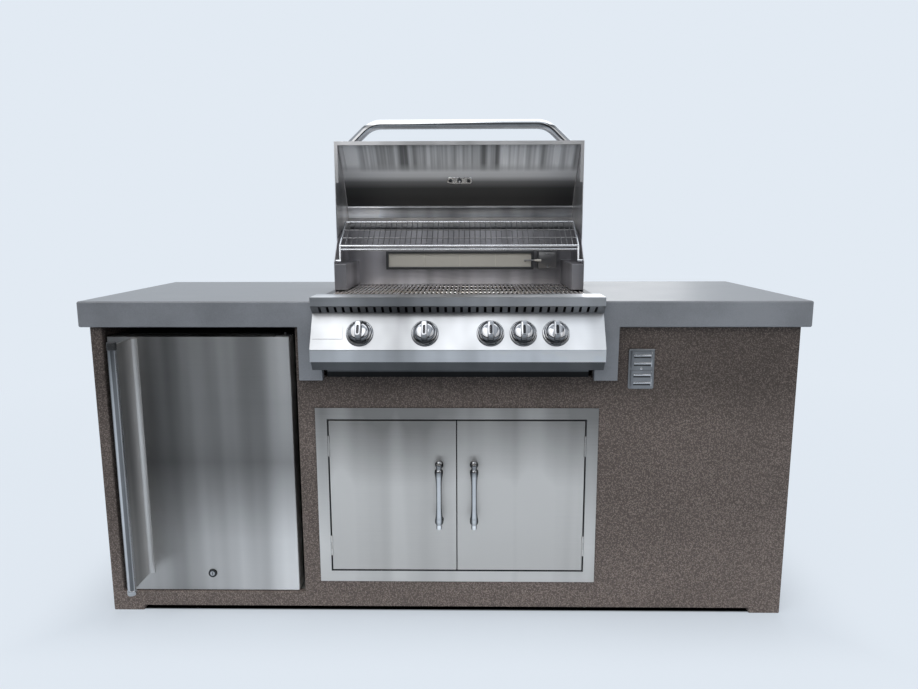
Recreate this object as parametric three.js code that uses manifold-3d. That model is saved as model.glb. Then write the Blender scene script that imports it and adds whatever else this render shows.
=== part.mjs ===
// Outdoor kitchen island: a stucco cabinet under a concrete counter, with a built-in gas grill,
// a compact fridge, a pair of access doors and a weatherproof outlet.
// Millimetres, +Z up, +X to the right of someone who faces the front, -Y towards that person.
// While it is built, X is zero at the counter's middle, Y at its front edge and Z at the floor.
// The last lines move the whole island so that its origin is the bottom centre of its box.

import * as THREE from 'three';
import { mergeVertices } from 'three/addons/utils/BufferGeometryUtils.js';
import Module from 'manifold-3d';

const wasm = await Module();
wasm.setup();

// Driving dimensions of the cabinet and counter
const counterDepth = 660;
const counterTop = 914;
const counterEdge = 71;
const counterBevel = 4;
const frontOverhang = 24;
const sideOverhang = 17;
const backOverhang = 24;
const wallThick = 22;
const toeGap = 14;
const footWidth = 90;
const earWidth = 64;
const cutoutWidth = 742;
const cutoutBackMargin = 152;
const cutoutDepth = counterDepth - cutoutBackMargin;
const pierWide = 40.5;
const doorSetback = 39.3;
const outletBayWide = 541.5;
const gap = 0.3;
const overrun = 6;
const snap = 0.001;
const mergeShare = 0.1;

// Structure inside the cabinet
const railWide = 38;
const railHigh = 30;
const floorThick = 12.7;
const dividerThick = 16;
const dividerSetback = 9;

// Grill
const grillShift = 4.35;
const panelCover = 19.5;
const panelWidth = cutoutWidth + 2 * panelCover;
const sheet = 2;
const panelLift = 14;
const panelTop = counterTop + panelLift;
const panelTopDepth = 93;
const panelLipDeep = 37;
const panelLipHigh = 23;
const ventDeep = 29;
const ventHigh = 23;
const faceDeep = 52;
const faceHigh = 90;
const chinHigh = 33;
const ventPitch = 21;
const ventCount = Math.floor(panelWidth / ventPitch) - 1;
const ventLong = 28;
const ventWide = 7;
const plateWide = 79;
const plateHigh = 38;
const plateRaise = 1.5;
const plateInset = 6;
const plateSetback = 47.5;
const fireClearance = 5;
const fireWide = cutoutWidth - 2 * fireClearance;
const fireFront = 62;
const fireBackMargin = 18.3;
const fireBack = cutoutDepth - fireBackMargin;
const fireHigh = 150;
const fireFloor = counterTop - fireHigh;
const trayRunGap = 22;
const trayRun = fireFloor - trayRunGap;
const trayRoom = 38;
const grillSill = trayRun - trayRoom;
const earOverlap = 8;
const earBottom = grillSill - earOverlap;
const flangeWide = 52;
const flangeBack = cutoutDepth + flangeWide;
const wallHigh = 186;
const wallTop = counterTop + wallHigh;
const wingFront = 222;
const wingLowHigh = 94;
const wingLow = counterTop + wingLowHigh;
const wingClearance = 5;
const wingOutset = fireWide / 2 + wingClearance;
const wingTurn = 62;
const wingTurnHigh = 158;
const wingTurnZ = counterTop + wingTurnHigh;
const wingRise = 90;
const wingBoxWide = 35;
const wingBoxInset = wingOutset - wingBoxWide;
const wingBoxHigh = 86;
const wingBoxTop = counterTop + wingBoxHigh;
const wingBoxLift = 3;
const hoodClearance = 4;
const hoodWide = 2 * (wingOutset + hoodClearance);
const hoodSheet = 2.5;
const hoodFront = 95;
const hoodBackReach = 47.3;
const hoodDepth = fireBack + hoodBackReach - hoodFront;
const hoodLift = 7;
const hoodBottom = counterTop + hoodLift;
const hoodHigh = 242;
const hoodHem = 11;
const hemShort = 1;
const pivotInset = 71.7;
const pivotY = fireBack - pivotInset;
const pivotHigh = 126;
const pivotZ = counterTop + pivotHigh;
const pivotRadius = 5;
const pivotProud = 3;
const pivotChamfer = 1;
const openDegrees = 90;
const handleInset = 55;
const handleSlopeWide = 55;
const hoodHandleSpan = hoodWide - 2 * handleInset;
const hoodHandleStraight = hoodHandleSpan - 2 * handleSlopeWide;
const hoodHandleRadius = 14;
const hoodHandleStand = 52;
const hoodHandleLift = 31;
const hoodHandleBend = 80;
const knobShares = [-0.355, -0.118, 0.119, 0.238, 0.356];
const burnerShares = [-0.347, -0.1154, 0.1154, 0.347];
const knobPlaces = knobShares.map((share) => share * fireWide);
const burnerPlaces = burnerShares.map((share) => share * fireWide);
const knobSetback = 50;
const grateLift = 7;
const grateTop = counterTop + grateLift;
const grateCount = 4;
const grateBars = 10;

// Fridge
const fridgeWide = 509;
const fridgeDoorBottom = 62;
const fridgeTopGap = 30.5;
const fridgeDoorHigh = counterTop - counterEdge - fridgeTopGap - fridgeDoorBottom;
const fridgeDoorFront = 30;
const fridgeDoorThick = 50;
const fridgeGasket = 8;
const fridgeBackGap = 56;
const fridgeSideGap = 8;
const fridgeHingeGap = 17;
const fridgeSill = 59;
const fridgeFinInset = 71;
const finLowInset = 53;
const finTopInset = 4.5;
const fridgeFinLow = fridgeDoorBottom + finLowInset;
const fridgeFinTop = fridgeDoorBottom + fridgeDoorHigh - finTopInset;
const fridgeTubeOut = 113;
const fridgeTubeRadius = 12.5;

// Access doors
const surroundCover = 24.35;
const surroundWide = cutoutWidth + 2 * surroundCover;
const surroundBottom = 95.6;
const surroundHigh = 517.7;
const surroundFlange = 34;
const surroundProud = 4;
const surroundDeep = 58;
const doorGap = 3;
const doorThick = 18;
const pullLength = 191;
const pullInset = 49;
const pullCentreZ = 367.5;

// Outlet
const outletSetback = 112;
const outletBelow = 189;
const outletZ = counterTop - outletBelow;
const outletWide = 70;
const outletHigh = 112;

// Widths along the front: pier, fridge bay, divider, doors under the grill, outlet bay
const dividerReach = pierWide + fridgeWide + fridgeHingeGap + dividerSetback;
const baseWidth = dividerReach + doorSetback + surroundWide + outletBayWide;
const counterWidth = baseWidth + 2 * sideOverhang;
const halfBase = baseWidth / 2;
const fridgeLeft = -halfBase + pierWide;
const surroundLeft = -halfBase + dividerReach + doorSetback;
const grillX = surroundLeft + surroundWide / 2 + grillShift;
const outletX = surroundLeft + surroundWide + outletSetback;
const counterUnder = counterTop - counterEdge;
const wallUnder = counterUnder - gap;
const baseFront = frontOverhang;
const baseBack = counterDepth - backOverhang;
const cutoutLeft = grillX - cutoutWidth / 2;
const cutoutRight = grillX + cutoutWidth / 2;

// Materials
function finish(color, roughness, metalness) {
  return new THREE.MeshStandardMaterial({ color, roughness, metalness });
}
const stucco = () => finish(0x6b6259, 0.95, 0);
const concrete = () => finish(0x8d9499, 0.7, 0);
const board = () => finish(0x9c9a93, 0.9, 0);
const zinc = () => finish(0xa3a7a8, 0.5, 0.8);
const brushed = () => finish(0xb4b8bb, 0.35, 1);
const polished = () => finish(0xd6d9dc, 0.12, 1);
const darkSteel = () => finish(0x3c3f42, 0.5, 0.8);
const castGrey = () => finish(0x7a7e80, 0.45, 0.9);
const tileWhite = () => finish(0xcfcabc, 0.85, 0);
const white = () => finish(0xe9eaea, 0.5, 0);
const black = () => finish(0x1a1b1c, 0.6, 0);
const clear = () => finish(0xcfe0e2, 0.08, 0);
const brass = () => finish(0xb08d4a, 0.35, 1);

// Solids: from a three.js geometry to a manifold and back
function toManifold(geometry) {
  const bare = geometry.index ? geometry.toNonIndexed() : geometry.clone();
  bare.deleteAttribute('normal');
  bare.deleteAttribute('uv');
  const snapped = bare.attributes.position.array.map((v) => Math.round(v / snap) * snap);
  bare.setAttribute('position', new THREE.BufferAttribute(snapped, 3));
  const merged = mergeVertices(bare, snap * mergeShare);
  return new wasm.Manifold(new wasm.Mesh({
    numProp: 3,
    vertProperties: new Float32Array(merged.attributes.position.array),
    triVerts: new Uint32Array(merged.index.array),
  }));
}

function toGeometry(manifold) {
  const mesh = manifold.getMesh();
  const geometry = new THREE.BufferGeometry();
  geometry.setAttribute('position', new THREE.BufferAttribute(new Float32Array(mesh.vertProperties), 3));
  geometry.setIndex(new THREE.BufferAttribute(new Uint32Array(mesh.triVerts), 1));
  geometry.computeVertexNormals();
  return geometry;
}

function join(...geometries) {
  const parts = geometries.map(toManifold);
  return toGeometry(parts.reduce((sum, part) => sum.add(part)));
}

function cut(geometry, ...tools) {
  const parts = tools.map(toManifold);
  return toGeometry(parts.reduce((sum, part) => sum.subtract(part), toManifold(geometry)));
}

function common(first, second) {
  return toGeometry(toManifold(first).intersect(toManifold(second)));
}

// Basic forms, placed by their limits
function box(x0, x1, y0, y1, z0, z1) {
  const geometry = new THREE.BoxGeometry(x1 - x0, y1 - y0, z1 - z0);
  return geometry.translate((x0 + x1) / 2, (y0 + y1) / 2, (z0 + z1) / 2);
}

function outline(points, holes = []) {
  const shape = new THREE.Shape(points.map(([x, y]) => new THREE.Vector2(x, y)));
  for (const hole of holes) {
    shape.holes.push(new THREE.Path(hole.map(([x, y]) => new THREE.Vector2(x, y))));
  }
  return shape;
}

function rectangle(x0, x1, y0, y1) {
  return [[x0, y0], [x1, y0], [x1, y1], [x0, y1]];
}

function roundedRectangle(x0, x1, y0, y1, radius) {
  const shape = new THREE.Shape();
  shape.moveTo(x0 + radius, y0);
  shape.lineTo(x1 - radius, y0);
  shape.absarc(x1 - radius, y0 + radius, radius, -Math.PI / 2, 0);
  shape.lineTo(x1, y1 - radius);
  shape.absarc(x1 - radius, y1 - radius, radius, 0, Math.PI / 2);
  shape.lineTo(x0 + radius, y1);
  shape.absarc(x0 + radius, y1 - radius, radius, Math.PI / 2, Math.PI);
  shape.lineTo(x0, y0 + radius);
  shape.absarc(x0 + radius, y0 + radius, radius, Math.PI, 1.5 * Math.PI);
  return shape;
}

function prism(shape, depth, curveSegments = 4) {
  return new THREE.ExtrudeGeometry(shape, { depth, bevelEnabled: false, curveSegments });
}

// An outline drawn in X and Z, as thick as said, with its front at y0
function upright(shape, y0, thick, curveSegments) {
  return prism(shape, thick, curveSegments).rotateX(Math.PI / 2).translate(0, y0 + thick, 0);
}

// An outline drawn in X and Y, standing from z0
function lying(shape, z0, high, curveSegments) {
  return prism(shape, high, curveSegments).translate(0, 0, z0);
}

// An outline drawn in Y and Z, running along X from x0
const alongX = new THREE.Matrix4().makeBasis(
  new THREE.Vector3(0, 1, 0), new THREE.Vector3(0, 0, 1), new THREE.Vector3(1, 0, 0));
function sideways(shape, x0, wide, curveSegments) {
  return prism(shape, wide, curveSegments).applyMatrix4(alongX).translate(x0, 0, 0);
}

// A turned form: the profile is [radius, place along the axis], and the axis runs from a point
function turned(profile, from, direction, segments) {
  const points = profile.map(([r, along]) => new THREE.Vector2(r, along));
  const geometry = new THREE.LatheGeometry(points, segments);
  const turn = new THREE.Quaternion().setFromUnitVectors(
    new THREE.Vector3(0, 1, 0), direction.clone().normalize());
  return geometry.applyQuaternion(turn).translate(from.x, from.y, from.z);
}

function rod(from, to, radius, segments) {
  const direction = to.clone().sub(from);
  const length = direction.length();
  return turned([[0, 0], [radius, 0], [radius, length], [0, length]], from, direction, segments);
}

const at = (x, y, z) => new THREE.Vector3(x, y, z);
const axisX = at(1, 0, 0);
const axisY = at(0, 1, 0);
const axisZ = at(0, 0, 1);

// A path that stops at each of its own points, so that bends get their rings where they are
class Run extends THREE.Curve {
  constructor(stations) {
    super();
    this.stations = stations;
  }

  getPoint(t, target = new THREE.Vector3()) {
    const place = t * (this.stations.length - 1);
    const index = Math.min(Math.floor(place), this.stations.length - 2);
    return target.lerpVectors(this.stations[index], this.stations[index + 1], place - index);
  }

  getPointAt(t, target) {
    return this.getPoint(t, target);
  }

  getTangentAt(t, target = new THREE.Vector3()) {
    const last = this.stations.length - 1;
    const index = Math.round(t * last);
    const before = this.stations[Math.max(index - 1, 0)];
    const after = this.stations[Math.min(index + 1, last)];
    return target.subVectors(after, before).normalize();
  }
}

// Corner points with each inner corner rounded to a radius
function rounded(points, radius, steps) {
  const stations = [points[0]];
  for (let i = 1; i < points.length - 1; i += 1) {
    const back = points[i - 1].clone().sub(points[i]).normalize();
    const ahead = points[i + 1].clone().sub(points[i]).normalize();
    const half = back.angleTo(ahead) / 2;
    const reach = radius / Math.tan(half);
    const curve = new THREE.QuadraticBezierCurve3(
      points[i].clone().addScaledVector(back, reach), points[i],
      points[i].clone().addScaledVector(ahead, reach));
    stations.push(...curve.getPoints(steps));
  }
  stations.push(points[points.length - 1]);
  return stations;
}

function tube(stations, radius, sides) {
  const circle = new THREE.Shape();
  circle.absarc(0, 0, radius, 0, 2 * Math.PI);
  const section = new THREE.Shape(circle.getPoints(Math.ceil(sides / 2)).slice(0, -1));
  return new THREE.ExtrudeGeometry(section, {
    steps: stations.length - 1, extrudePath: new Run(stations), bevelEnabled: false,
  });
}

// Groups and named pieces
const island = new THREE.Group();
function group(parent, x = 0, y = 0, z = 0) {
  const made = new THREE.Group();
  made.position.set(x, y, z);
  parent.add(made);
  return made;
}

function add(parent, name, geometry, material, place = at(0, 0, 0)) {
  const mesh = new THREE.Mesh(geometry, material);
  mesh.name = name;
  mesh.position.copy(place);
  parent.add(mesh);
  return mesh;
}

// Cabinet
const fridgeRight = fridgeLeft + fridgeWide;
const bayLeft = fridgeLeft - fridgeSideGap;
const bayRight = fridgeRight + fridgeHingeGap;
const collarLeft = surroundLeft + surroundFlange;
const collarRight = surroundLeft + surroundWide - surroundFlange;
const collarBottom = surroundBottom + surroundFlange;
const collarTop = surroundBottom + surroundHigh - surroundFlange;
const collarPlay = 1;
const collarSlack = sheet + collarPlay;
const outletCutShare = 0.78;

function wallOutline(notches) {
  return [
    [-halfBase, 0], [-halfBase + footWidth, 0], [-halfBase + footWidth, toeGap],
    [halfBase - footWidth, toeGap], [halfBase - footWidth, 0], [halfBase, 0],
    [halfBase, wallUnder], ...notches, [-halfBase, wallUnder],
  ];
}

function makeCabinet() {
  const cabinet = group(island);
  const notches = [
    [cutoutRight, wallUnder], [cutoutRight, grillSill], [cutoutLeft, grillSill], [cutoutLeft, wallUnder],
    [bayRight, wallUnder], [bayRight, fridgeSill], [bayLeft, fridgeSill], [bayLeft, wallUnder],
  ];
  const doorHole = rectangle(
    collarLeft - collarSlack, collarRight + collarSlack,
    collarBottom - collarSlack, collarTop + collarSlack);
  const outletHole = rectangle(
    outletX - outletWide / 2 * outletCutShare, outletX + outletWide / 2 * outletCutShare,
    outletZ - outletHigh / 2 * outletCutShare, outletZ + outletHigh / 2 * outletCutShare);
  add(cabinet, 'front_wall',
    upright(outline(wallOutline(notches), [doorHole, outletHole]), baseFront, wallThick), stucco());
  add(cabinet, 'back_wall', upright(outline(wallOutline([])), baseBack - wallThick, wallThick), stucco());
  const sideFront = baseFront + wallThick + gap;
  const sideBack = baseBack - wallThick - gap;
  add(cabinet, 'left_wall',
    box(-halfBase, -halfBase + wallThick, sideFront, sideBack, 0, wallUnder), stucco());
  add(cabinet, 'right_wall',
    box(halfBase - wallThick, halfBase, sideFront, sideBack, 0, wallUnder), stucco());

  // Steel floor ring with a pad foot under each corner and joint, and the floor board on it
  const ringLeft = -halfBase + wallThick + gap;
  const ringRight = halfBase - wallThick - gap;
  const ringLow = toeGap;
  const ringTop = ringLow + railHigh;
  const crossPlaces = [bayRight + dividerSetback, cutoutRight];
  const rails = [
    box(ringLeft, ringRight, sideFront, sideFront + railWide, ringLow, ringTop),
    box(ringLeft, ringRight, sideBack - railWide, sideBack, ringLow, ringTop),
    box(ringLeft, ringLeft + railWide, sideFront, sideBack, ringLow, ringTop),
    box(ringRight - railWide, ringRight, sideFront, sideBack, ringLow, ringTop),
  ];
  for (const x of crossPlaces) {
    rails.push(box(x - railWide / 2, x + railWide / 2, sideFront, sideBack, ringLow, ringTop));
  }
  const padRadius = railWide / 2 - sheet;
  for (const x of [ringLeft + railWide / 2, ...crossPlaces, ringRight - railWide / 2]) {
    for (const y of [sideFront + railWide / 2, sideBack - railWide / 2]) {
      rails.push(rod(at(x, y, 0), at(x, y, ringLow + sheet), padRadius, 8));
    }
  }
  add(cabinet, 'floor_frame', join(...rails), zinc());
  const floorLow = ringTop + gap;
  const floorTop = floorLow + floorThick;
  add(cabinet, 'cabinet_floor', box(ringLeft, ringRight, sideFront, sideBack, floorLow, floorTop), board());
  const dividerX = bayRight + dividerSetback;
  add(cabinet, 'bay_divider',
    box(dividerX - dividerThick / 2, dividerX + dividerThick / 2, sideFront, sideBack,
      floorTop + gap, wallUnder), board());
  return { floorTop, dividerX };
}

function makeCounter() {
  const halfCounter = counterWidth / 2;
  const plan = [
    [-halfCounter, 0], [cutoutLeft, 0], [cutoutLeft, cutoutDepth], [cutoutRight, cutoutDepth],
    [cutoutRight, 0], [halfCounter, 0], [halfCounter, counterDepth], [-halfCounter, counterDepth],
  ];
  const slab = new THREE.ExtrudeGeometry(outline(plan), {
    depth: counterEdge - 2 * counterBevel, bevelEnabled: true, bevelSegments: 2,
    bevelSize: counterBevel, bevelThickness: counterBevel, bevelOffset: -counterBevel,
  }).translate(0, 0, counterUnder + counterBevel);
  const earTop = counterTop - 2 * counterBevel;
  const earBack = frontOverhang - gap;
  const ears = [[cutoutLeft - earWidth, cutoutLeft], [cutoutRight, cutoutRight + earWidth]];
  const earSolids = ears.map(([x0, x1]) => box(x0, x1, 0, earBack, earBottom, earTop));
  add(group(island), 'countertop', join(slab, ...earSolids), concrete());
}

// Fridge
const casingWall = 2;
const linerWall = 32;
const casingInset = 3;
const casingFront = fridgeDoorFront + fridgeDoorThick + fridgeGasket;
const fridgeDepth = counterDepth - backOverhang - wallThick - fridgeBackGap - casingFront;
const hingeInset = 15;
const hingeBack = 20;
const hingePinRadius = 4;
const hingePlate = 2.4;

function makeFridge(floorTop) {
  const fridge = group(island, fridgeLeft, fridgeDoorFront, fridgeDoorBottom);
  const wide = fridgeWide;
  const high = fridgeDoorHigh;
  const hingeX = wide - hingeInset;
  const hingeY = hingeBack;
  const bodyFront = casingFront - fridgeDoorFront;
  const bodyBack = bodyFront + fridgeDepth;
  const bodyLow = 10;
  const bodyTop = high;
  const bodyLeft = casingInset;
  const bodyRight = wide - casingInset;

  // Steel casing, open at the front, and the thick liner in it
  const casing = cut(
    box(bodyLeft, bodyRight, bodyFront, bodyBack, bodyLow, bodyTop),
    box(bodyLeft + casingWall, bodyRight - casingWall, bodyFront - overrun, bodyBack - casingWall,
      bodyLow + casingWall, bodyTop - casingWall));
  add(fridge, 'fridge_casing', casing, darkSteel());
  const linerLeft = bodyLeft + casingWall + gap;
  const linerRight = bodyRight - casingWall - gap;
  const linerLow = bodyLow + casingWall + gap;
  const linerTop = bodyTop - casingWall - gap;
  const linerBack = bodyBack - casingWall - gap;
  const cavityLeft = linerLeft + linerWall;
  const cavityRight = linerRight - linerWall;
  const cavityLow = linerLow + linerWall;
  const cavityTop = linerTop - linerWall;
  const cavityBack = linerBack - linerWall;
  const stepHigh = 150;
  const stepDeep = 140;
  const ledgeOut = 9;
  const ledgeThick = 6;
  const shelfShares = [0.42, 0.72];
  const shelfHeights = shelfShares.map((share) => cavityLow + share * (cavityTop - cavityLow));
  const linerParts = [
    cut(box(linerLeft, linerRight, bodyFront, linerBack, linerLow, linerTop),
      box(cavityLeft, cavityRight, bodyFront - overrun, cavityBack, cavityLow, cavityTop)),
    box(cavityLeft - overrun, cavityRight + overrun, cavityBack - stepDeep, cavityBack + overrun,
      cavityLow - overrun, cavityLow + stepHigh),
  ];
  const ledgeFront = bodyFront + linerWall;
  for (const z of shelfHeights) {
    linerParts.push(box(cavityLeft - overrun, cavityLeft + ledgeOut, ledgeFront, cavityBack + overrun,
      z - ledgeThick, z));
    linerParts.push(box(cavityRight - ledgeOut, cavityRight + overrun, ledgeFront, cavityBack + overrun,
      z - ledgeThick, z));
  }
  add(fridge, 'fridge_liner', join(...linerParts), white());
  const shelfThick = 5;
  const shelfSlack = 2;
  const shelfCorner = 18;
  ['fridge_lower_shelf', 'fridge_upper_shelf'].forEach((name, i) => {
    const plan = roundedRectangle(cavityLeft + shelfSlack, cavityRight - shelfSlack,
      ledgeFront, cavityBack - gap, shelfCorner);
    add(fridge, name, lying(plan, shelfHeights[i] + gap, shelfThick, 4), clear());
  });

  // Base tray with four levelling feet that stand on the cabinet's floor
  const footTall = fridgeDoorBottom + bodyLow - gap - (floorTop + gap);
  const baseThick = 3;
  const baseTop = bodyLow - gap;
  const footInset = 45;
  const footRadius = 16;
  const baseParts = [box(bodyLeft, bodyRight, bodyFront, bodyBack, baseTop - baseThick, baseTop)];
  for (const x of [bodyLeft + footInset, bodyRight - footInset]) {
    for (const y of [bodyFront + footInset, bodyBack - footInset]) {
      baseParts.push(rod(at(x, y, baseTop - footTall), at(x, y, baseTop), footRadius, 16));
    }
  }
  add(fridge, 'fridge_base', join(...baseParts), darkSteel());

  // Door: a folded steel skin, with the foam-filled liner and its gasket behind it
  const doorRound = 5;
  const doorDeep = fridgeDoorThick;
  const fillGap = casingWall + gap;
  const pinReach = 14;
  const pinHole = hingePinRadius + gap;
  const lockX = 256;
  const lockZ = 52;
  const lockHole = 9;
  const skin = cut(
    lying(roundedRectangle(0, wide, 0, doorDeep + doorRound, doorRound), 0, high, 3),
    box(-overrun, wide + overrun, doorDeep, doorDeep + 2 * doorRound, -overrun, high + overrun),
    lying(roundedRectangle(casingWall, wide - casingWall, casingWall, doorDeep + 2 * doorRound,
      doorRound - casingWall), casingWall, high - 2 * casingWall, 3),
    rod(at(hingeX, hingeY, -overrun), at(hingeX, hingeY, high + overrun), pinHole, 16),
    rod(at(lockX, -overrun, lockZ), at(lockX, overrun, lockZ), lockHole, 20));
  add(fridge, 'fridge_door', skin, brushed());
  const lockWall = 2;
  const lockSocket = lockHole + lockWall;
  const lockDeep = 22;
  const fillFront = fillGap;
  const fillBack = doorDeep + fridgeGasket - gap;
  const gasketStep = 12;
  const fill = cut(
    join(
      lying(roundedRectangle(fillGap, wide - fillGap, fillFront, doorDeep + doorRound,
        doorRound - casingWall),
        fillGap, high - 2 * fillGap, 3),
      box(gasketStep, wide - gasketStep, doorDeep - overrun, fillBack, gasketStep + bodyLow,
        high - gasketStep)),
    box(-overrun, gasketStep, doorDeep, fillBack + overrun, -overrun, high + overrun),
    box(wide - gasketStep, wide + overrun, doorDeep, fillBack + overrun, -overrun, high + overrun),
    box(-overrun, wide + overrun, doorDeep, fillBack + overrun, -overrun, gasketStep + bodyLow),
    box(-overrun, wide + overrun, doorDeep, fillBack + overrun, high - gasketStep, high + overrun),
    rod(at(hingeX, hingeY, -overrun), at(hingeX, hingeY, pinReach + gap), pinHole, 16),
    rod(at(hingeX, hingeY, high - pinReach - gap), at(hingeX, hingeY, high + overrun), pinHole, 16),
    rod(at(lockX, fillFront - overrun, lockZ), at(lockX, lockDeep, lockZ), lockSocket, 20));
  add(fridge, 'fridge_door_liner', fill, white());

  // Full-height handle: a folded fin that flares off the door into a round tube
  const finX = fridgeFinInset;
  const finLow = fridgeFinLow - fridgeDoorBottom;
  const finTop = fridgeFinTop - fridgeDoorBottom;
  const finThick = 3;
  const finRoot = 16;
  const tubeY = -fridgeTubeOut;
  const capOut = 1.2;
  const finEnd = tubeY + fridgeTubeRadius - capOut + gap;
  const finShape = new THREE.Shape();
  finShape.moveTo(finX + finRoot, -gap);
  finShape.lineTo(finX + finRoot, -gap - finThick);
  finShape.quadraticCurveTo(finX + finThick / 2, -gap - finThick, finX + finThick / 2, -gap - finRoot);
  finShape.lineTo(finX + finThick / 2, finEnd);
  finShape.lineTo(finX - finThick / 2, finEnd);
  finShape.lineTo(finX - finThick / 2, -gap - finRoot);
  finShape.quadraticCurveTo(finX - finThick / 2, -gap, finX - finThick / 2 + finThick, -gap);
  add(fridge, 'fridge_handle_fin', lying(finShape, finLow, finTop - finLow, 6), brushed());
  const r = fridgeTubeRadius;
  const capHigh = 9;
  const capCrown = 2.5;
  const tubeLow = finLow - capHigh;
  const tubeHigh = finTop - finLow + 2 * capHigh;
  const tubeProfile = [
    [0, 0], [r - capCrown, 0], [r, capCrown], [r, capHigh - capOut], [r - capOut, capHigh],
    [r - capOut, tubeHigh - capHigh], [r, tubeHigh - capHigh + capOut], [r, tubeHigh - capCrown],
    [r - capCrown, tubeHigh], [0, tubeHigh],
  ];
  add(fridge, 'fridge_handle_tube', turned(tubeProfile, at(finX, tubeY, tubeLow), axisZ, 18), polished());

  // Lock: a round bezel on the skin and the cylinder that turns in it
  const bezelOut = 4;
  const bezelRadius = 13;
  const cylinderRadius = 7;
  const back = at(lockX, 0, lockZ);
  const bezelProfile = [
    [cylinderRadius + gap, lockDeep - 4 * gap], [cylinderRadius + gap, -bezelOut],
    [bezelRadius - capOut, -bezelOut], [bezelRadius, -gap], [lockHole - gap, -gap],
    [lockHole - gap, lockDeep - 4 * gap], [cylinderRadius + gap, lockDeep - 4 * gap],
  ];
  add(fridge, 'fridge_lock_bezel', turned(bezelProfile, back, axisY, 24), polished());
  const keyWide = 1.6;
  const keyHigh = 8;
  const keyDeep = 10;
  const cylinderFront = -bezelOut - gap;
  const barrel = rod(at(lockX, cylinderFront, lockZ), at(lockX, lockDeep - 4 * gap, lockZ),
    cylinderRadius, 20);
  add(fridge, 'fridge_lock_cylinder', cut(barrel,
    box(lockX - keyWide / 2, lockX + keyWide / 2, cylinderFront - overrun, cylinderFront + keyDeep,
      lockZ - keyHigh / 2, lockZ + keyHigh / 2)), polished());

  // Hinges: a plate on the casing and one on the base, each with a pin in the door's end
  const plateLeft = wide - 2 * hingeInset - hingeInset;
  const plateBack = bodyFront + 2 * hingeInset;
  const plateCorner = 6;
  const plateFront = hingeY - hingeInset / 2;
  const plate = roundedRectangle(plateLeft, bodyRight, plateFront, plateBack, plateCorner);
  const topPlate = join(
    lying(plate, high + gap, hingePlate, 3),
    rod(at(hingeX, hingeY, high - pinReach), at(hingeX, hingeY, high + hingePlate + 2 * hingePinRadius),
      hingePinRadius, 16));
  add(fridge, 'fridge_top_hinge', topPlate, darkSteel());
  const lowPlate = join(
    cut(lying(plate, -gap - hingePlate, hingePlate, 3),
      box(plateLeft - overrun, bodyRight + overrun, bodyFront, plateBack + overrun, -bodyLow, bodyLow)),
    box(plateLeft, bodyRight, bodyFront - gap - hingePlate, bodyFront - gap,
      -gap - hingePlate, bodyLow - gap),
    rod(at(hingeX, hingeY, -gap - hingePlate), at(hingeX, hingeY, pinReach), hingePinRadius, 16));
  add(fridge, 'fridge_bottom_hinge', lowPlate, darkSteel());
}

// Access doors
const knuckleRadius = 3.2;
const knuckleLong = 20;
const knuckleClear = 0.4;
const hingeShares = [0.17, 0.83];
const halfShare = 0.5;

function knuckles(x, y, z, places) {
  return places.map((place) => rod(
    at(x, y, z + (place - halfShare) * knuckleLong + gap / 2),
    at(x, y, z + (place + halfShare) * knuckleLong - gap / 2), knuckleRadius, 8));
}

function knuckleRoom(x, y, z, places) {
  return places.map((place) => rod(
    at(x, y, z + (place - halfShare) * knuckleLong - gap / 2),
    at(x, y, z + (place + halfShare) * knuckleLong + gap / 2), knuckleRadius + knuckleClear, 8));
}

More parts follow.
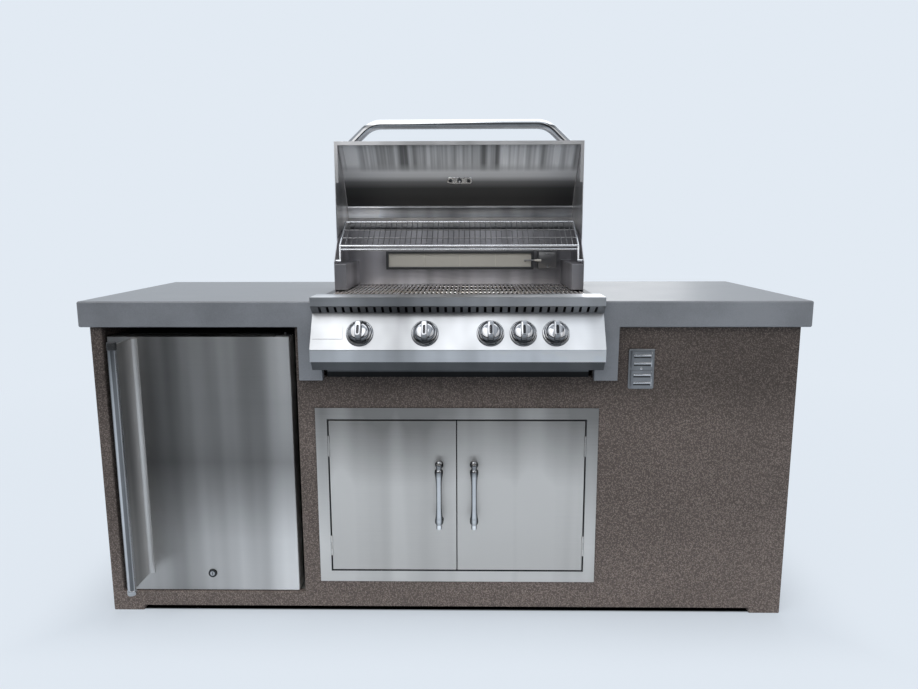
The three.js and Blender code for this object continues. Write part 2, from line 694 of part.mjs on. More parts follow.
function makeAccess() {
  const access = group(island, (collarLeft + collarRight) / 2, baseFront, collarBottom);
  const half = (collarRight - collarLeft) / 2;
  const high = collarTop - collarBottom;
  const front = -surroundProud;
  const webHalf = 1;
  const hingeY = front + webHalf;
  const hingeX = half - doorGap / 2;
  const hingeZs = hingeShares.map((share) => share * high);

  // Surround: a face flange with hemmed edges and a collar that goes into the wall
  const flangeHole = rectangle(-half, half, 0, high);
  const hem = 3;
  const face = [
    upright(outline(rectangle(-half - surroundFlange, half + surroundFlange, -surroundFlange,
      high + surroundFlange), [flangeHole]), front, sheet),
    upright(outline(rectangle(-half - surroundFlange, half + surroundFlange, -surroundFlange,
      high + surroundFlange), [rectangle(-half - surroundFlange + hem, half + surroundFlange - hem,
      -surroundFlange + hem, high + surroundFlange - hem)]), front, surroundProud - gap),
    upright(outline(rectangle(-half - sheet, half + sheet, -sheet, high + sheet), [flangeHole]),
      front, surroundDeep),
  ];
  const fixedPlaces = [-1, 1];
  const movingPlaces = [0];
  const fixed = [];
  const room = [];
  for (const side of [-1, 1]) {
    for (const z of hingeZs) {
      fixed.push(...knuckles(side * hingeX, hingeY, z, fixedPlaces));
      room.push(...knuckleRoom(side * hingeX, hingeY, z, movingPlaces));
    }
  }
  const webs = [];
  for (const side of [-1, 1]) {
    for (const z of hingeZs) {
      for (const place of fixedPlaces) {
        const low = z + (place - halfShare) * knuckleLong + gap / 2;
        const inner = side * hingeX;
        const outer = side * (half + sheet / 2);
        webs.push(box(Math.min(inner, outer), Math.max(inner, outer), hingeY - webHalf, hingeY + webHalf,
          low, low + knuckleLong - gap));
      }
    }
  }
  // Magnet catch that hangs under the collar's top, behind the meeting edges
  add(access, 'door_surround', join(cut(join(...face), ...room), ...fixed, ...webs), brushed());
  const catchWide = 46;
  const catchHigh = 13;
  const catchDeep = 16;
  const catchGap = 2;
  const catchFront = front + doorThick + catchGap;
  add(access, 'door_catch',
    box(-catchWide / 2, catchWide / 2, catchFront, catchFront + catchDeep, high - gap - catchHigh,
      high - gap), black());

  // Doors: folded pans that open at the back, each with its own middle knuckles
  const leafHigh = high - 2 * doorGap;
  const leafWide = half - 1.5 * doorGap;
  const foldBack = 14;
  for (const [side, name] of [[-1, 'left'], [1, 'right']]) {
    const x0 = side < 0 ? -half + doorGap : doorGap / 2;
    const x1 = x0 + leafWide;
    const y0 = front;
    const y1 = front + doorThick;
    const pan = cut(
      box(x0, x1, y0, y1, doorGap, doorGap + leafHigh),
      box(x0 + sheet, x1 - sheet, y0 + sheet, y1 - sheet, doorGap + sheet, doorGap + leafHigh - sheet),
      box(x0 + foldBack, x1 - foldBack, y1 - 2 * sheet, y1 + overrun, doorGap + foldBack,
        doorGap + leafHigh - foldBack));
    const parts = [];
    const rooms = [];
    for (const z of hingeZs) {
      parts.push(...knuckles(side * hingeX, hingeY, z, movingPlaces));
      rooms.push(...knuckleRoom(side * hingeX, hingeY, z, fixedPlaces));
      const low = z - knuckleLong / 2 + gap / 2;
      const edge = side < 0 ? x0 + sheet / 2 : x1 - sheet / 2;
      parts.push(box(Math.min(edge, side * hingeX), Math.max(edge, side * hingeX),
        hingeY - webHalf, hingeY + webHalf, low, low + knuckleLong - gap));
    }
    add(access, `${name}_access_door`, join(cut(pan, ...rooms), ...parts), brushed());

    // Turned pull: a slim bar that swells to a collar at each end, on two posts
    const barR = 7.5;
    const neckR = 9.5;
    const collarR = 12;
    const capR = 8;
    const stand = 36;
    const ends = pullLength / 2;
    const postIn = 14;
    const profileShares = [0, 0.04, 0.055, 0.1, 0.19, 0.32, 0.5];
    const profileRadii = [capR, capR, collarR, collarR, neckR, barR, barR];
    const lowerHalf = profileShares.map((share, i) => [profileRadii[i], share * pullLength - ends]);
    const upperHalf = lowerHalf.slice(0, -1).reverse().map(([radius, along]) => [radius, -along]);
    const profile = [[0, -ends], ...lowerHalf, ...upperHalf];
    profile.push([0, ends]);
    const pullX = side * pullInset;
    const pullZ = pullCentreZ - collarBottom;
    const barY = front - stand;
    const postR = 5;
    const roseR = 12;
    const roseHigh = 4;
    const pieces = [turned(profile, at(pullX, barY, pullZ), axisZ, 12)];
    for (const end of [-1, 1]) {
      const z = pullZ + end * (ends - postIn);
      const post = [[0, 0], [postR, 0], [postR, stand - roseHigh], [roseR, stand - roseHigh / 2],
        [roseR, stand - gap], [0, stand - gap]];
      pieces.push(turned(post, at(pullX, barY, z), axisY, 10));
    }
    add(access, `${name}_door_pull`, join(...pieces), polished());
  }
}

// Outlet
function makeOutlet() {
  const outlet = group(island, outletX, baseFront, outletZ);
  const halfW = outletWide / 2;
  const halfH = outletHigh / 2;
  const plateThick = 3.6;
  const faceW = 33;
  const faceH = 28;
  const faceRise = 27;
  const holeSlack = 1;
  const facePlaces = [-faceRise, faceRise];
  const windows = facePlaces.map((z) => rectangle(
    -faceW / 2 - holeSlack, faceW / 2 + holeSlack, z - faceH / 2 - holeSlack, z + faceH / 2 + holeSlack));
  const plateCorner = 5;
  const plateShape = roundedRectangle(-halfW, halfW, -halfH, halfH, plateCorner);
  for (const hole of windows) {
    plateShape.holes.push(new THREE.Path(hole.map(([x, y]) => new THREE.Vector2(x, y))));
  }
  const plateFront = -gap - plateThick;
  add(outlet, 'outlet_plate', upright(plateShape, plateFront, plateThick, 3), brushed());
  const boxHalfW = halfW * outletCutShare - gap;
  const boxHalfH = halfH * outletCutShare - gap;
  const boxDeep = 52;
  const slotW = 2.4;
  const slotH = 8;
  const slotApart = 6.5;
  const slotDeep = 12;
  const bodyParts = [box(-boxHalfW, boxHalfW, 0, boxDeep, -boxHalfH, boxHalfH)];
  const slots = [];
  for (const z of facePlaces) {
    bodyParts.push(box(-faceW / 2, faceW / 2, plateFront, overrun, z - faceH / 2, z + faceH / 2));
    for (const x of [-slotApart, slotApart]) {
      slots.push(box(x - slotW / 2, x + slotW / 2, plateFront - overrun, plateFront + slotDeep,
        z, z + slotH));
    }
    slots.push(rod(at(0, plateFront - overrun, z - slotH), at(0, plateFront + slotDeep, z - slotH),
      slotW, 10));
  }
  add(outlet, 'outlet_receptacle', cut(join(...bodyParts), ...slots), black());

  // Two flip lids, each with a rib along its top and bottom and a hinge barrel on its left
  const lidW = 56;
  const lidH = 44;
  const lidThick = 3;
  const lidInset = 8;
  const lidX = lidInset - halfW;
  const barrelR = 2.4;
  const ribH = 5;
  const ribOut = 4;
  const ribSlope = 1;
  const lidBack = plateFront - gap;
  const axisBack = lidBack - barrelR;
  [['lower', -faceRise], ['upper', faceRise]].forEach(([name, z]) => {
    const lidFront = lidBack - lidThick;
    const lid = [box(lidX, lidX + lidW, lidFront, lidBack, z - lidH / 2, z + lidH / 2)];
    for (const rib of [z - lidH / 4, z + lidH / 4]) {
      const shape = [[lidFront + ribSlope, rib - ribH / 2], [lidFront + ribSlope, rib + ribH / 2],
        [lidFront - ribOut, rib - ribH / 2 + ribSlope], [lidFront - ribOut, rib - ribH / 2]];
      lid.push(sideways(outline(shape.reverse()), lidX + 2 * barrelR, lidW - 4 * barrelR));
    }
    lid.push(rod(at(lidX, axisBack, z - lidH / 2), at(lidX, axisBack, z + lidH / 2), barrelR, 12));
    const trimmed = cut(join(...lid),
      box(lidX - 2 * barrelR, lidX, axisBack, lidBack + overrun, z - lidH, z - lidH / 2));
    add(outlet, `${name}_outlet_lid`, trimmed, brushed());
  });
}

// Grill: front panel
const panelFront = -panelLipDeep;
const panelBack = panelTopDepth - panelLipDeep;
const bendShare = 1.2;
const lipLow = panelTop - panelLipHigh;
const faceTopY = panelFront + ventDeep;
const faceTopZ = lipLow - ventHigh;
const chinY = faceTopY - faceDeep;
const chinTop = faceTopZ - faceHigh;
const chinLow = chinTop - chinHigh;
const faceNormal = at(0, -faceHigh, faceDeep).normalize();
const faceDown = at(0, -faceDeep, -faceHigh).normalize();
const knobShare = knobSetback / faceHigh;
const knobY = faceTopY - faceDeep * knobShare;
const knobZ = faceTopZ - knobSetback;
const bezelRadius = 36.5;
const bezelHigh = 5;
const stemRadius = 4.5;
const stemHole = 9;

function makePanel(grill) {
  const half = panelWidth / 2;
  const restZ = counterTop + gap;
  const outer = [
    [panelBack, panelTop], [panelFront, panelTop], [panelFront, lipLow], [faceTopY, faceTopZ],
    [chinY, chinTop], [chinY, chinLow], [-gap, chinLow], [-gap, restZ], [panelBack, restZ],
  ];
  const inner = [
    [panelBack + overrun, panelTop - sheet], [panelFront + sheet, panelTop - sheet],
    [panelFront + sheet, lipLow + sheet / 2], [faceTopY + bendShare * sheet, faceTopZ],
    [chinY + sheet, chinTop - sheet / 2], [chinY + sheet, chinLow - overrun],
    [panelBack + overrun, chinLow - overrun],
  ];
  const tools = [sideways(outline(inner), -half + sheet, panelWidth - 2 * sheet)];
  const ventMiddle = at(0, (panelFront + faceTopY) / 2, (lipLow + faceTopZ) / 2);
  const ventTilt = Math.atan2(ventHigh, ventDeep);
  for (let i = 0; i < ventCount; i += 1) {
    const slot = new THREE.BoxGeometry(ventWide, ventLong, 4 * sheet + overrun);
    slot.rotateX(-ventTilt);
    slot.translate((i - (ventCount - 1) / 2) * ventPitch, ventMiddle.y, ventMiddle.z);
    tools.push(slot);
  }
  const shell = cut(sideways(outline(outer), -half, panelWidth), ...tools);

  // A raised bezel round each stem hole, and the bare plate at the left
  const raised = knobPlaces.map((x) => {
    const profile = [
      [0, -sheet / 2], [bezelRadius, -sheet / 2], [bezelRadius, bezelHigh / 2],
      [bezelRadius - 2 * sheet, bezelHigh], [bezelRadius - 4 * sheet, bezelHigh / 2],
      [0, bezelHigh / 2],
    ];
    return turned(profile, at(x, knobY, knobZ), faceNormal, 16);
  });
  const tilt = Math.atan2(faceDeep, faceHigh);
  const bare = new THREE.BoxGeometry(plateWide, 2 * plateRaise, plateHigh);
  bare.rotateX(-tilt);
  const plateY = faceTopY - faceDeep * plateSetback / faceHigh;
  bare.translate(-half + plateInset + plateWide / 2, plateY, faceTopZ - plateSetback);
  const holes = knobPlaces.map((x) => {
    const centre = at(x, knobY, knobZ);
    const reach = 2 * bezelHigh;
    return rod(centre.clone().addScaledVector(faceNormal, -reach),
      centre.clone().addScaledVector(faceNormal, reach), stemHole, 12);
  });
  add(grill, 'control_panel', cut(join(shell, bare, ...raised), ...holes), brushed());
}

// Grill: knobs, each on its own stem
const knobR = 30;
const knobBase = 15;
const gripLong = 54;
const gripWide = 17;
const gripHigh = 34;
const gripShoulderShare = 0.55;
const gripCrownShare = 0.34;
const stemIn = 16;
const knobGap = 1.5;
const knobRim = 1;
const knobLift = bezelHigh + knobGap;

function makeKnobs(grill) {
  const profile = [
    [0, -stemIn], [stemRadius, -stemIn], [stemRadius, knobLift], [knobR, knobLift],
    [knobR + knobRim, knobLift + 2 * knobRim], [knobR, knobLift + 4 * knobRim],
    [knobR - 4 * knobRim, knobLift + knobBase - 3 * knobRim],
    [knobR - 8 * knobRim, knobLift + knobBase], [0, knobLift + knobBase],
  ];
  const shoulder = knobLift + gripHigh * gripShoulderShare;
  const crown = knobLift + gripHigh;
  const crownHalf = gripLong * gripCrownShare;
  const tilt = Math.atan2(faceDeep, faceHigh);
  knobPlaces.forEach((x, i) => {
    const body = turned(profile, at(0, 0, 0), at(0, -1, 0), 16);
    const grip = sideways(outline([
      [-knobLift - knobRim, -gripLong / 2], [-knobLift - knobRim, gripLong / 2],
      [-shoulder, gripLong / 2], [-crown, crownHalf], [-crown, -crownHalf], [-shoulder, -gripLong / 2],
    ].reverse()), -gripWide / 2, gripWide);
    const pinch = join(body, common(grip, roundGrip()));
    const mesh = add(grill, `burner_knob_${i + 1}`, pinch, polished(), at(x, knobY, knobZ));
    mesh.rotation.x = -tilt;
  });
}

function roundGrip() {
  const bulge = 1.12;
  const riseShares = [0, 0.5, 0.85, 1];
  const radii = [gripLong / 2, gripLong / 2, gripLong / 2 / bulge, gripLong / 3];
  const side = riseShares.map((share, i) => [radii[i], knobLift + share * gripHigh]);
  return turned([[0, knobLift], ...side, [0, knobLift + gripHigh]], at(0, 0, 0), at(0, -1, 0), 16);
}

// Grill: manifold pipe with a valve behind each knob
const valveStart = stemIn + gap;
const valveLong = 40;
const valveNeck = 8;
const valveNeckLong = 10;
const valveBody = 12;
const pipeRadius = 11;
const nozzleRadius = 5;
const burnerHigh = 42;
const burnerZ = fireFloor + burnerHigh;
const burnerRadius = 16;

function makeManifold(grill) {
  const inward = faceNormal.clone().negate();
  const centreAt = (x, along) => at(x, knobY, knobZ).addScaledVector(inward, along);
  const pipeAt = centreAt(0, valveStart + valveLong);
  const ends = knobPlaces[0] - 4 * pipeRadius;
  const right = knobPlaces[knobPlaces.length - 1] + 2 * pipeRadius;
  const parts = [rod(at(ends, pipeAt.y, pipeAt.z), at(right, pipeAt.y, pipeAt.z), pipeRadius, 10)];
  for (const x of knobPlaces) {
    const profile = [[0, 0], [valveNeck, 0], [valveNeck, valveNeckLong],
      [valveBody, valveNeckLong + valveBody - valveNeck], [valveBody, valveLong], [0, valveLong]];
    parts.push(turned(profile, centreAt(x, valveStart), inward, 8));
  }
  // Two straps hold the pipe on the firebox's front wall
  const strapThick = 6;
  const strapPlaces = [
    (knobPlaces[0] + knobPlaces[1]) / 2,
    (knobPlaces[1] + knobPlaces[2]) / 2,
  ];
  for (const x of strapPlaces) {
    parts.push(box(x - strapThick, x + strapThick, pipeAt.y, fireFront - gap,
      pipeAt.z - strapThick / 2, pipeAt.z + strapThick / 2));
  }
  for (const x of burnerPlaces) {
    parts.push(rod(at(x, pipeAt.y, burnerZ), at(x, fireFront - 2 * nozzleRadius, burnerZ), nozzleRadius, 6));
  }
  add(grill, 'gas_manifold', join(...parts), brass());
}

// Grill: firebox, its ledges and runners
const ledgeOut = 12;
const grateHigh = 16;
const grateLedge = grateTop - grateHigh;
const shieldHigh = 94;
const shieldLedge = fireFloor + shieldHigh;
const trayRim = 12;
const traySillGap = 10;
const trayFrontInset = 24;
const trayLipHang = 8;
const trayLipLow = trayRun - trayLipHang;
const trayLipInset = 18;
const burnerHoleSlack = 1;

function makeFirebox(grill) {
  const half = fireWide / 2;
  const flangeLow = counterTop + gap;
  const flangeHigh = flangeLow + sheet;
  const flangeFront = panelBack + gap;
  const inside = { x: half - sheet, y0: fireFront + sheet, y1: fireBack - sheet };
  const into = sheet / 2;
  const parts = [
    box(-half, half, fireFront, fireFront + sheet, fireFloor, flangeHigh),
    box(-half, half, fireBack - sheet, fireBack, fireFloor, flangeHigh),
    box(-half, -half + sheet, fireFront, fireBack, trayRun, flangeHigh),
    box(half - sheet, half, fireFront, fireBack, trayRun, flangeHigh),
    box(-half, half, fireFront, fireBack, fireFloor, fireFloor + sheet),
    box(-half, -half + trayRim + sheet, fireFront, fireBack, trayRun, trayRun + sheet),
    box(half - trayRim - sheet, half, fireFront, fireBack, trayRun, trayRun + sheet),
    lying(outline(rectangle(-panelWidth / 2, panelWidth / 2, flangeFront, flangeBack),
      [rectangle(-inside.x, inside.x, inside.y0, inside.y1)]), flangeLow, sheet),
  ];
  for (const z of [grateLedge, shieldLedge]) {
    parts.push(box(-half + into, half - into, inside.y0 - into, inside.y0 + ledgeOut, z - sheet, z));
    parts.push(box(-half + into, half - into, inside.y1 - ledgeOut, inside.y1 + into, z - sheet, z));
  }
  const shelfZ = burnerZ - burnerRadius - gap;
  parts.push(box(-half + into, half - into, inside.y1 - 3 * ledgeOut, inside.y1 + into,
    shelfZ - sheet, shelfZ));
  const holes = burnerPlaces.map((x) => rod(
    at(x, fireFront - overrun, burnerZ), at(x, fireFront + overrun, burnerZ),
    burnerRadius + burnerHoleSlack, 12));
  const drainWide = 90;
  const drainDeep = 60;
  const middle = (fireFront + fireBack) / 2;
  holes.push(box(-drainWide, drainWide, middle - drainDeep, middle + drainDeep,
    fireFloor - overrun, fireFloor + overrun));
  add(grill, 'firebox', cut(join(...parts), ...holes), brushed());
  return { flangeHigh, inside, shelfZ };
}

// Grill: tube burners with a row of ports each side, and the tents over them
const portPitch = 110;
const portRadius = 3;

function makeBurners(grill, inside) {
  const front = fireFront - sheet;
  const back = inside.y1 - ledgeOut;
  const long = back - front;
  const r = burnerRadius;
  const wall = 2;
  const flat = 22;
  burnerPlaces.forEach((x, i) => {
    const profile = [
      [r - wall, 0], [r, 0], [r, long - flat], [r / 2, long], [0, long], [0, long - wall],
      [r / 2 - wall / 2, long - wall], [r - wall, long - flat - wall], [r - wall, 0],
    ];
    let burner = turned(profile, at(0, 0, 0), axisY, 12);
    const ports = [];
    for (let y = 3 * flat; y < long - 2 * flat; y += portPitch) {
      ports.push(rod(at(-r - overrun, y, r / 3), at(r + overrun, y, r / 3), portRadius, 4));
    }
    burner = cut(burner, ...ports);
    add(grill, `burner_tube_${i + 1}`, burner, castGrey(), at(x, front, burnerZ));
  });
  const tentWide = 118;
  const tentHigh = 30;
  const seat = shieldLedge + gap;
  const tent = outline([
    [-tentWide / 2, 0], [-tentWide / 2 + sheet, 0], [0, tentHigh - sheet], [tentWide / 2 - sheet, 0],
    [tentWide / 2, 0], [0, tentHigh],
  ]);
  burnerPlaces.forEach((x, i) => {
    const length = inside.y1 - inside.y0 - 2 * gap;
    add(grill, `heat_tent_${i + 1}`, upright(tent, 0, length), brushed(), at(x, inside.y0 + gap, seat));
  });
}

// Grill: cooking grates of round rod, side by side on the ledges
const grateRod = 4;
const grateCross = 4.5;

function makeGrates(grill, inside) {
  const slack = 1.5;
  const wide = (2 * inside.x - slack) / grateCount - slack;
  const long = inside.y1 - inside.y0 - 2 * slack;
  const rodZ = grateTop - grateRod;
  const crossZ = grateLedge + gap + grateCross;
  const pitch = (wide - 2 * grateRod) / (grateBars - 1);
  const crossShares = [0.012, 0.5, 0.988];
  for (let g = 0; g < grateCount; g += 1) {
    const bars = [];
    for (let i = 0; i < grateBars; i += 1) {
      const x = grateRod + i * pitch;
      bars.push(rod(at(x, 0, 0), at(x, long, 0), grateRod, 4));
    }
    for (const share of crossShares) {
      const y = share * long;
      bars.push(rod(at(0, y, crossZ - rodZ), at(wide, y, crossZ - rodZ), grateCross, 4));
    }
    add(grill, `cooking_grate_${g + 1}`, join(...bars), castGrey(),
      at(-inside.x + slack + g * (wide + slack), inside.y0 + slack, rodZ));
  }
}

// Grill: the fixed walls that stand on the flange, with the hood's pins
function makeRearHousing(grill, flangeHigh) {
  const low = flangeHigh + gap;
  const half = wingOutset;
  const back = fireBack + gap;
  const turnY = wingFront + wingTurn;
  const riseY = turnY + wingRise;
  const side = outline([
    [wingFront, low], [back + sheet / 2, low], [back + sheet / 2, wallTop], [riseY, wallTop],
    [turnY, wingTurnZ], [wingFront, wingLow],
  ]);
  const pinLong = hoodWide / 2 - half + pivotProud;
  const pin = [[0, -sheet / 2], [pivotRadius, -sheet / 2], [pivotRadius, pinLong - pivotChamfer],
    [pivotRadius - pivotChamfer, pinLong], [0, pinLong]];
  const rackHole = rackPinRadius + gap;
  const boxLow = grateTop + wingBoxLift;
  const edge = sheet / 2;
  const sides = [sideways(side, -half, sheet), sideways(side, half - sheet, sheet)];
  for (const s of [-1, 1]) {
    const span = (near, far) => (s < 0 ? [-far, -near] : [near, far]);
    const [x0, x1] = span(wingBoxInset, half - edge);
    const [hollow0, hollow1] = span(wingBoxInset + sheet, half + overrun);
    sides.push(cut(
      box(x0, x1, wingFront + edge, back + edge, boxLow, wingBoxTop),
      box(hollow0, hollow1, wingFront + sheet + edge, back + overrun,
        boxLow - overrun, wingBoxTop - sheet)));
  }
  const walls = cut(join(...sides,
    box(-half + edge, half - edge, back, back + sheet, low + edge, wallTop - edge)),
  rod(at(-half - overrun, rackY, rackZ), at(half + overrun, rackY, rackZ), rackHole, 12));
  add(grill, 'rear_housing', join(walls,
    turned(pin, at(half, pivotY, pivotZ), axisX, 16),
    turned(pin, at(-half, pivotY, pivotZ), axisX.clone().negate(), 16)), brushed());
}

// Grill: rear infrared burner, its four tiles and the igniter beside it
const burnerInset = 123;
const burnerMiddleHigh = 86;

function makeRearBurner(grill) {
  const wallFace = fireBack + gap;
  const wide = fireWide - 2 * burnerInset;
  const high = 60;
  const deep = 34;
  const rim = 8;
  const z = counterTop + burnerMiddleHigh;
  const y1 = wallFace - gap;
  const housing = cut(
    box(-wide / 2, wide / 2, y1 - deep, y1, z - high / 2, z + high / 2),
    box(-wide / 2 + rim, wide / 2 - rim, y1 - deep - overrun, y1 - sheet, z - high / 2 + rim,
      z + high / 2 - rim));
  add(grill, 'rear_burner_housing', housing, brushed());
  const tileSet = 8;
  const tileCount = 4;
  const groove = 3;
  const tileWide = wide - 2 * rim - 2 * gap;
  const tileHigh = high - 2 * rim - 2 * gap;
  const grooves = [];
  for (let i = 1; i < tileCount; i += 1) {
    const x = -tileWide / 2 + i * tileWide / tileCount;
    grooves.push(box(x - groove / 2, x + groove / 2, y1 - deep, y1 - deep + tileSet + groove,
      z - high, z + high));
  }
  add(grill, 'rear_burner_tiles', cut(
    box(-tileWide / 2, tileWide / 2, y1 - deep + tileSet, y1 - sheet - gap, z - tileHigh / 2,
      z + tileHigh / 2), ...grooves), tileWhite());
  const bracketWide = 63;
  const bracketApart = 14;
  const bracketLeft = wide / 2 + bracketApart;
  const electrode = 2.5;
  const electrodeLong = 54;
  add(grill, 'rear_igniter', join(
    box(bracketLeft, bracketLeft + bracketWide, y1 - deep + rim, y1, z - high / 2, z + high / 2),
    rod(at(bracketLeft + rim, y1 - deep - electrode, z), at(bracketLeft + rim, y1 - sheet, z), electrode, 8),
    rod(at(bracketLeft + rim, y1 - deep - electrode, z),
      at(bracketLeft + rim - electrodeLong, y1 - deep - electrode, z), electrode, 8)), darkSteel());
}

// Grill: warming rack, which hangs on pins in the wings and lies flat once the hood is closed
const rackClearance = 15;
const rackHalf = wingOutset - rackClearance;
const rackDeep = 133;
const rackRise = 33;
const rackSetback = 30;
const rackWire = 3;
const rackThin = 1.8;
const rackPinRadius = 3.5;
const rackY = 238;
const rackHigh = 96;
const rackZ = counterTop + rackHigh;
const rackTiltDegrees = 32;
const rackWireCount = 22;
const rackLaterals = 2;
const rackRailApart = 10.5;

function makeRack(grill) {
  const rack = group(grill, 0, rackY, rackZ);
  rack.rotation.x = THREE.MathUtils.degToRad(rackTiltDegrees);
  const y0 = rackSetback;
  const y1 = rackSetback + rackDeep;
  const z = rackRise;
  const parts = [
    rod(at(-rackHalf, y0, z), at(rackHalf, y0, z), rackWire, 6),
    rod(at(-rackHalf, y0 - rackWire, z - rackRailApart), at(rackHalf, y0 - rackWire, z - rackRailApart),
      rackWire, 6),
    rod(at(-rackHalf, y1, z), at(rackHalf, y1, z), rackWire, 6),
  ];
  for (let i = 0; i < rackWireCount; i += 1) {
    const x = -rackHalf + (i + 1) * 2 * rackHalf / (rackWireCount + 1);
    parts.push(rod(at(x, y0, z + rackWire - rackThin), at(x, y1, z + rackWire - rackThin), rackThin, 4));
  }
  for (let i = 1; i <= rackLaterals; i += 1) {
    const y = y0 + i * rackDeep / (rackLaterals + 1);
    parts.push(rod(at(-rackHalf, y, z), at(rackHalf, y, z), rackThin, 4));
  }
  const out = wingOutset - rackHalf;
  for (const side of [-1, 1]) {
    const corner = rounded([
      at(side * rackHalf, y1, z), at(side * rackHalf, y0, z), at(side * rackHalf, 0, 0),
    ], rackWire * 2, 3);
    parts.push(tube(corner, rackWire, 6));
    parts.push(rod(at(side * (rackHalf - rackWire), 0, 0), at(side * (rackHalf + out), 0, 0),
      rackPinRadius, 10));
  }
  add(rack, 'warming_rack', join(...parts), polished());
}

// Grill: grease tray on the runners under the firebox
function makeTray(grill) {
  const half = fireWide / 2 - sheet - gap;
  const body = half - trayRim - sheet;
  const rimLow = trayRun + sheet + gap;
  const trayLow = grillSill + traySillGap;
  const y0 = chinY + trayFrontInset;
  const y1 = fireBack - sheet;
  const frontHalf = panelWidth / 2 - sheet;
  const tray = cut(
    join(box(-body, body, y0, y1, trayLow, rimLow + sheet),
      box(-half, half, fireFront, y1, rimLow, rimLow + sheet)),
    box(-body + sheet, body - sheet, y0 + sheet, y1 - sheet, trayLow + sheet, rimLow + overrun));
  const frontTop = chinLow - gap;
  const lipFront = chinY + trayLipInset;
  const lipBack = y0 + sheet;
  const front = sideways(outline([
    [chinY + sheet, frontTop], [lipFront, trayLipLow], [lipBack, trayLipLow],
    [lipBack, trayLipLow + sheet], [lipFront + sheet / 2, trayLipLow + sheet],
    [chinY + 2 * sheet, frontTop - sheet], [lipBack, frontTop - sheet], [lipBack, frontTop],
  ]), -frontHalf, 2 * frontHalf);
  add(grill, 'grease_tray', join(tray, front), darkSteel());
}

// Grill: hood, drawn closed about its pivot and then turned open
const hoodCurveShares = [[0, 0.153], [0.03, 0.285], [0.305, 0.76], [0.532, 0.893]];
const hoodTopShare = [1, 1];
const hoodCurveSteps = 14;
const swingClearance = 6;
const swingTo = 0.35;
const swingShares = [0, 0.1, 0.2, 0.3, 0.4, 0.5, 0.6, 0.7, 0.8, 0.9, 1];

function hoodOutline() {
  const place = ([a, b]) => new THREE.Vector2(
    hoodFront - pivotY + a * hoodDepth, hoodBottom - pivotZ + b * hoodHigh);
  const curve = new THREE.CubicBezierCurve(...hoodCurveShares.map(place));
  return { curve, points: [place([0, 0]), ...curve.getPoints(hoodCurveSteps), place(hoodTopShare)] };
}

function offset(points, distance) {
  return points.map((point, i) => {
    const before = points[Math.max(i - 1, 0)];
    const after = points[Math.min(i + 1, points.length - 1)];
    const along = after.clone().sub(before).normalize();
    return new THREE.Vector2(point.x + along.y * distance, point.y - along.x * distance);
  });
}

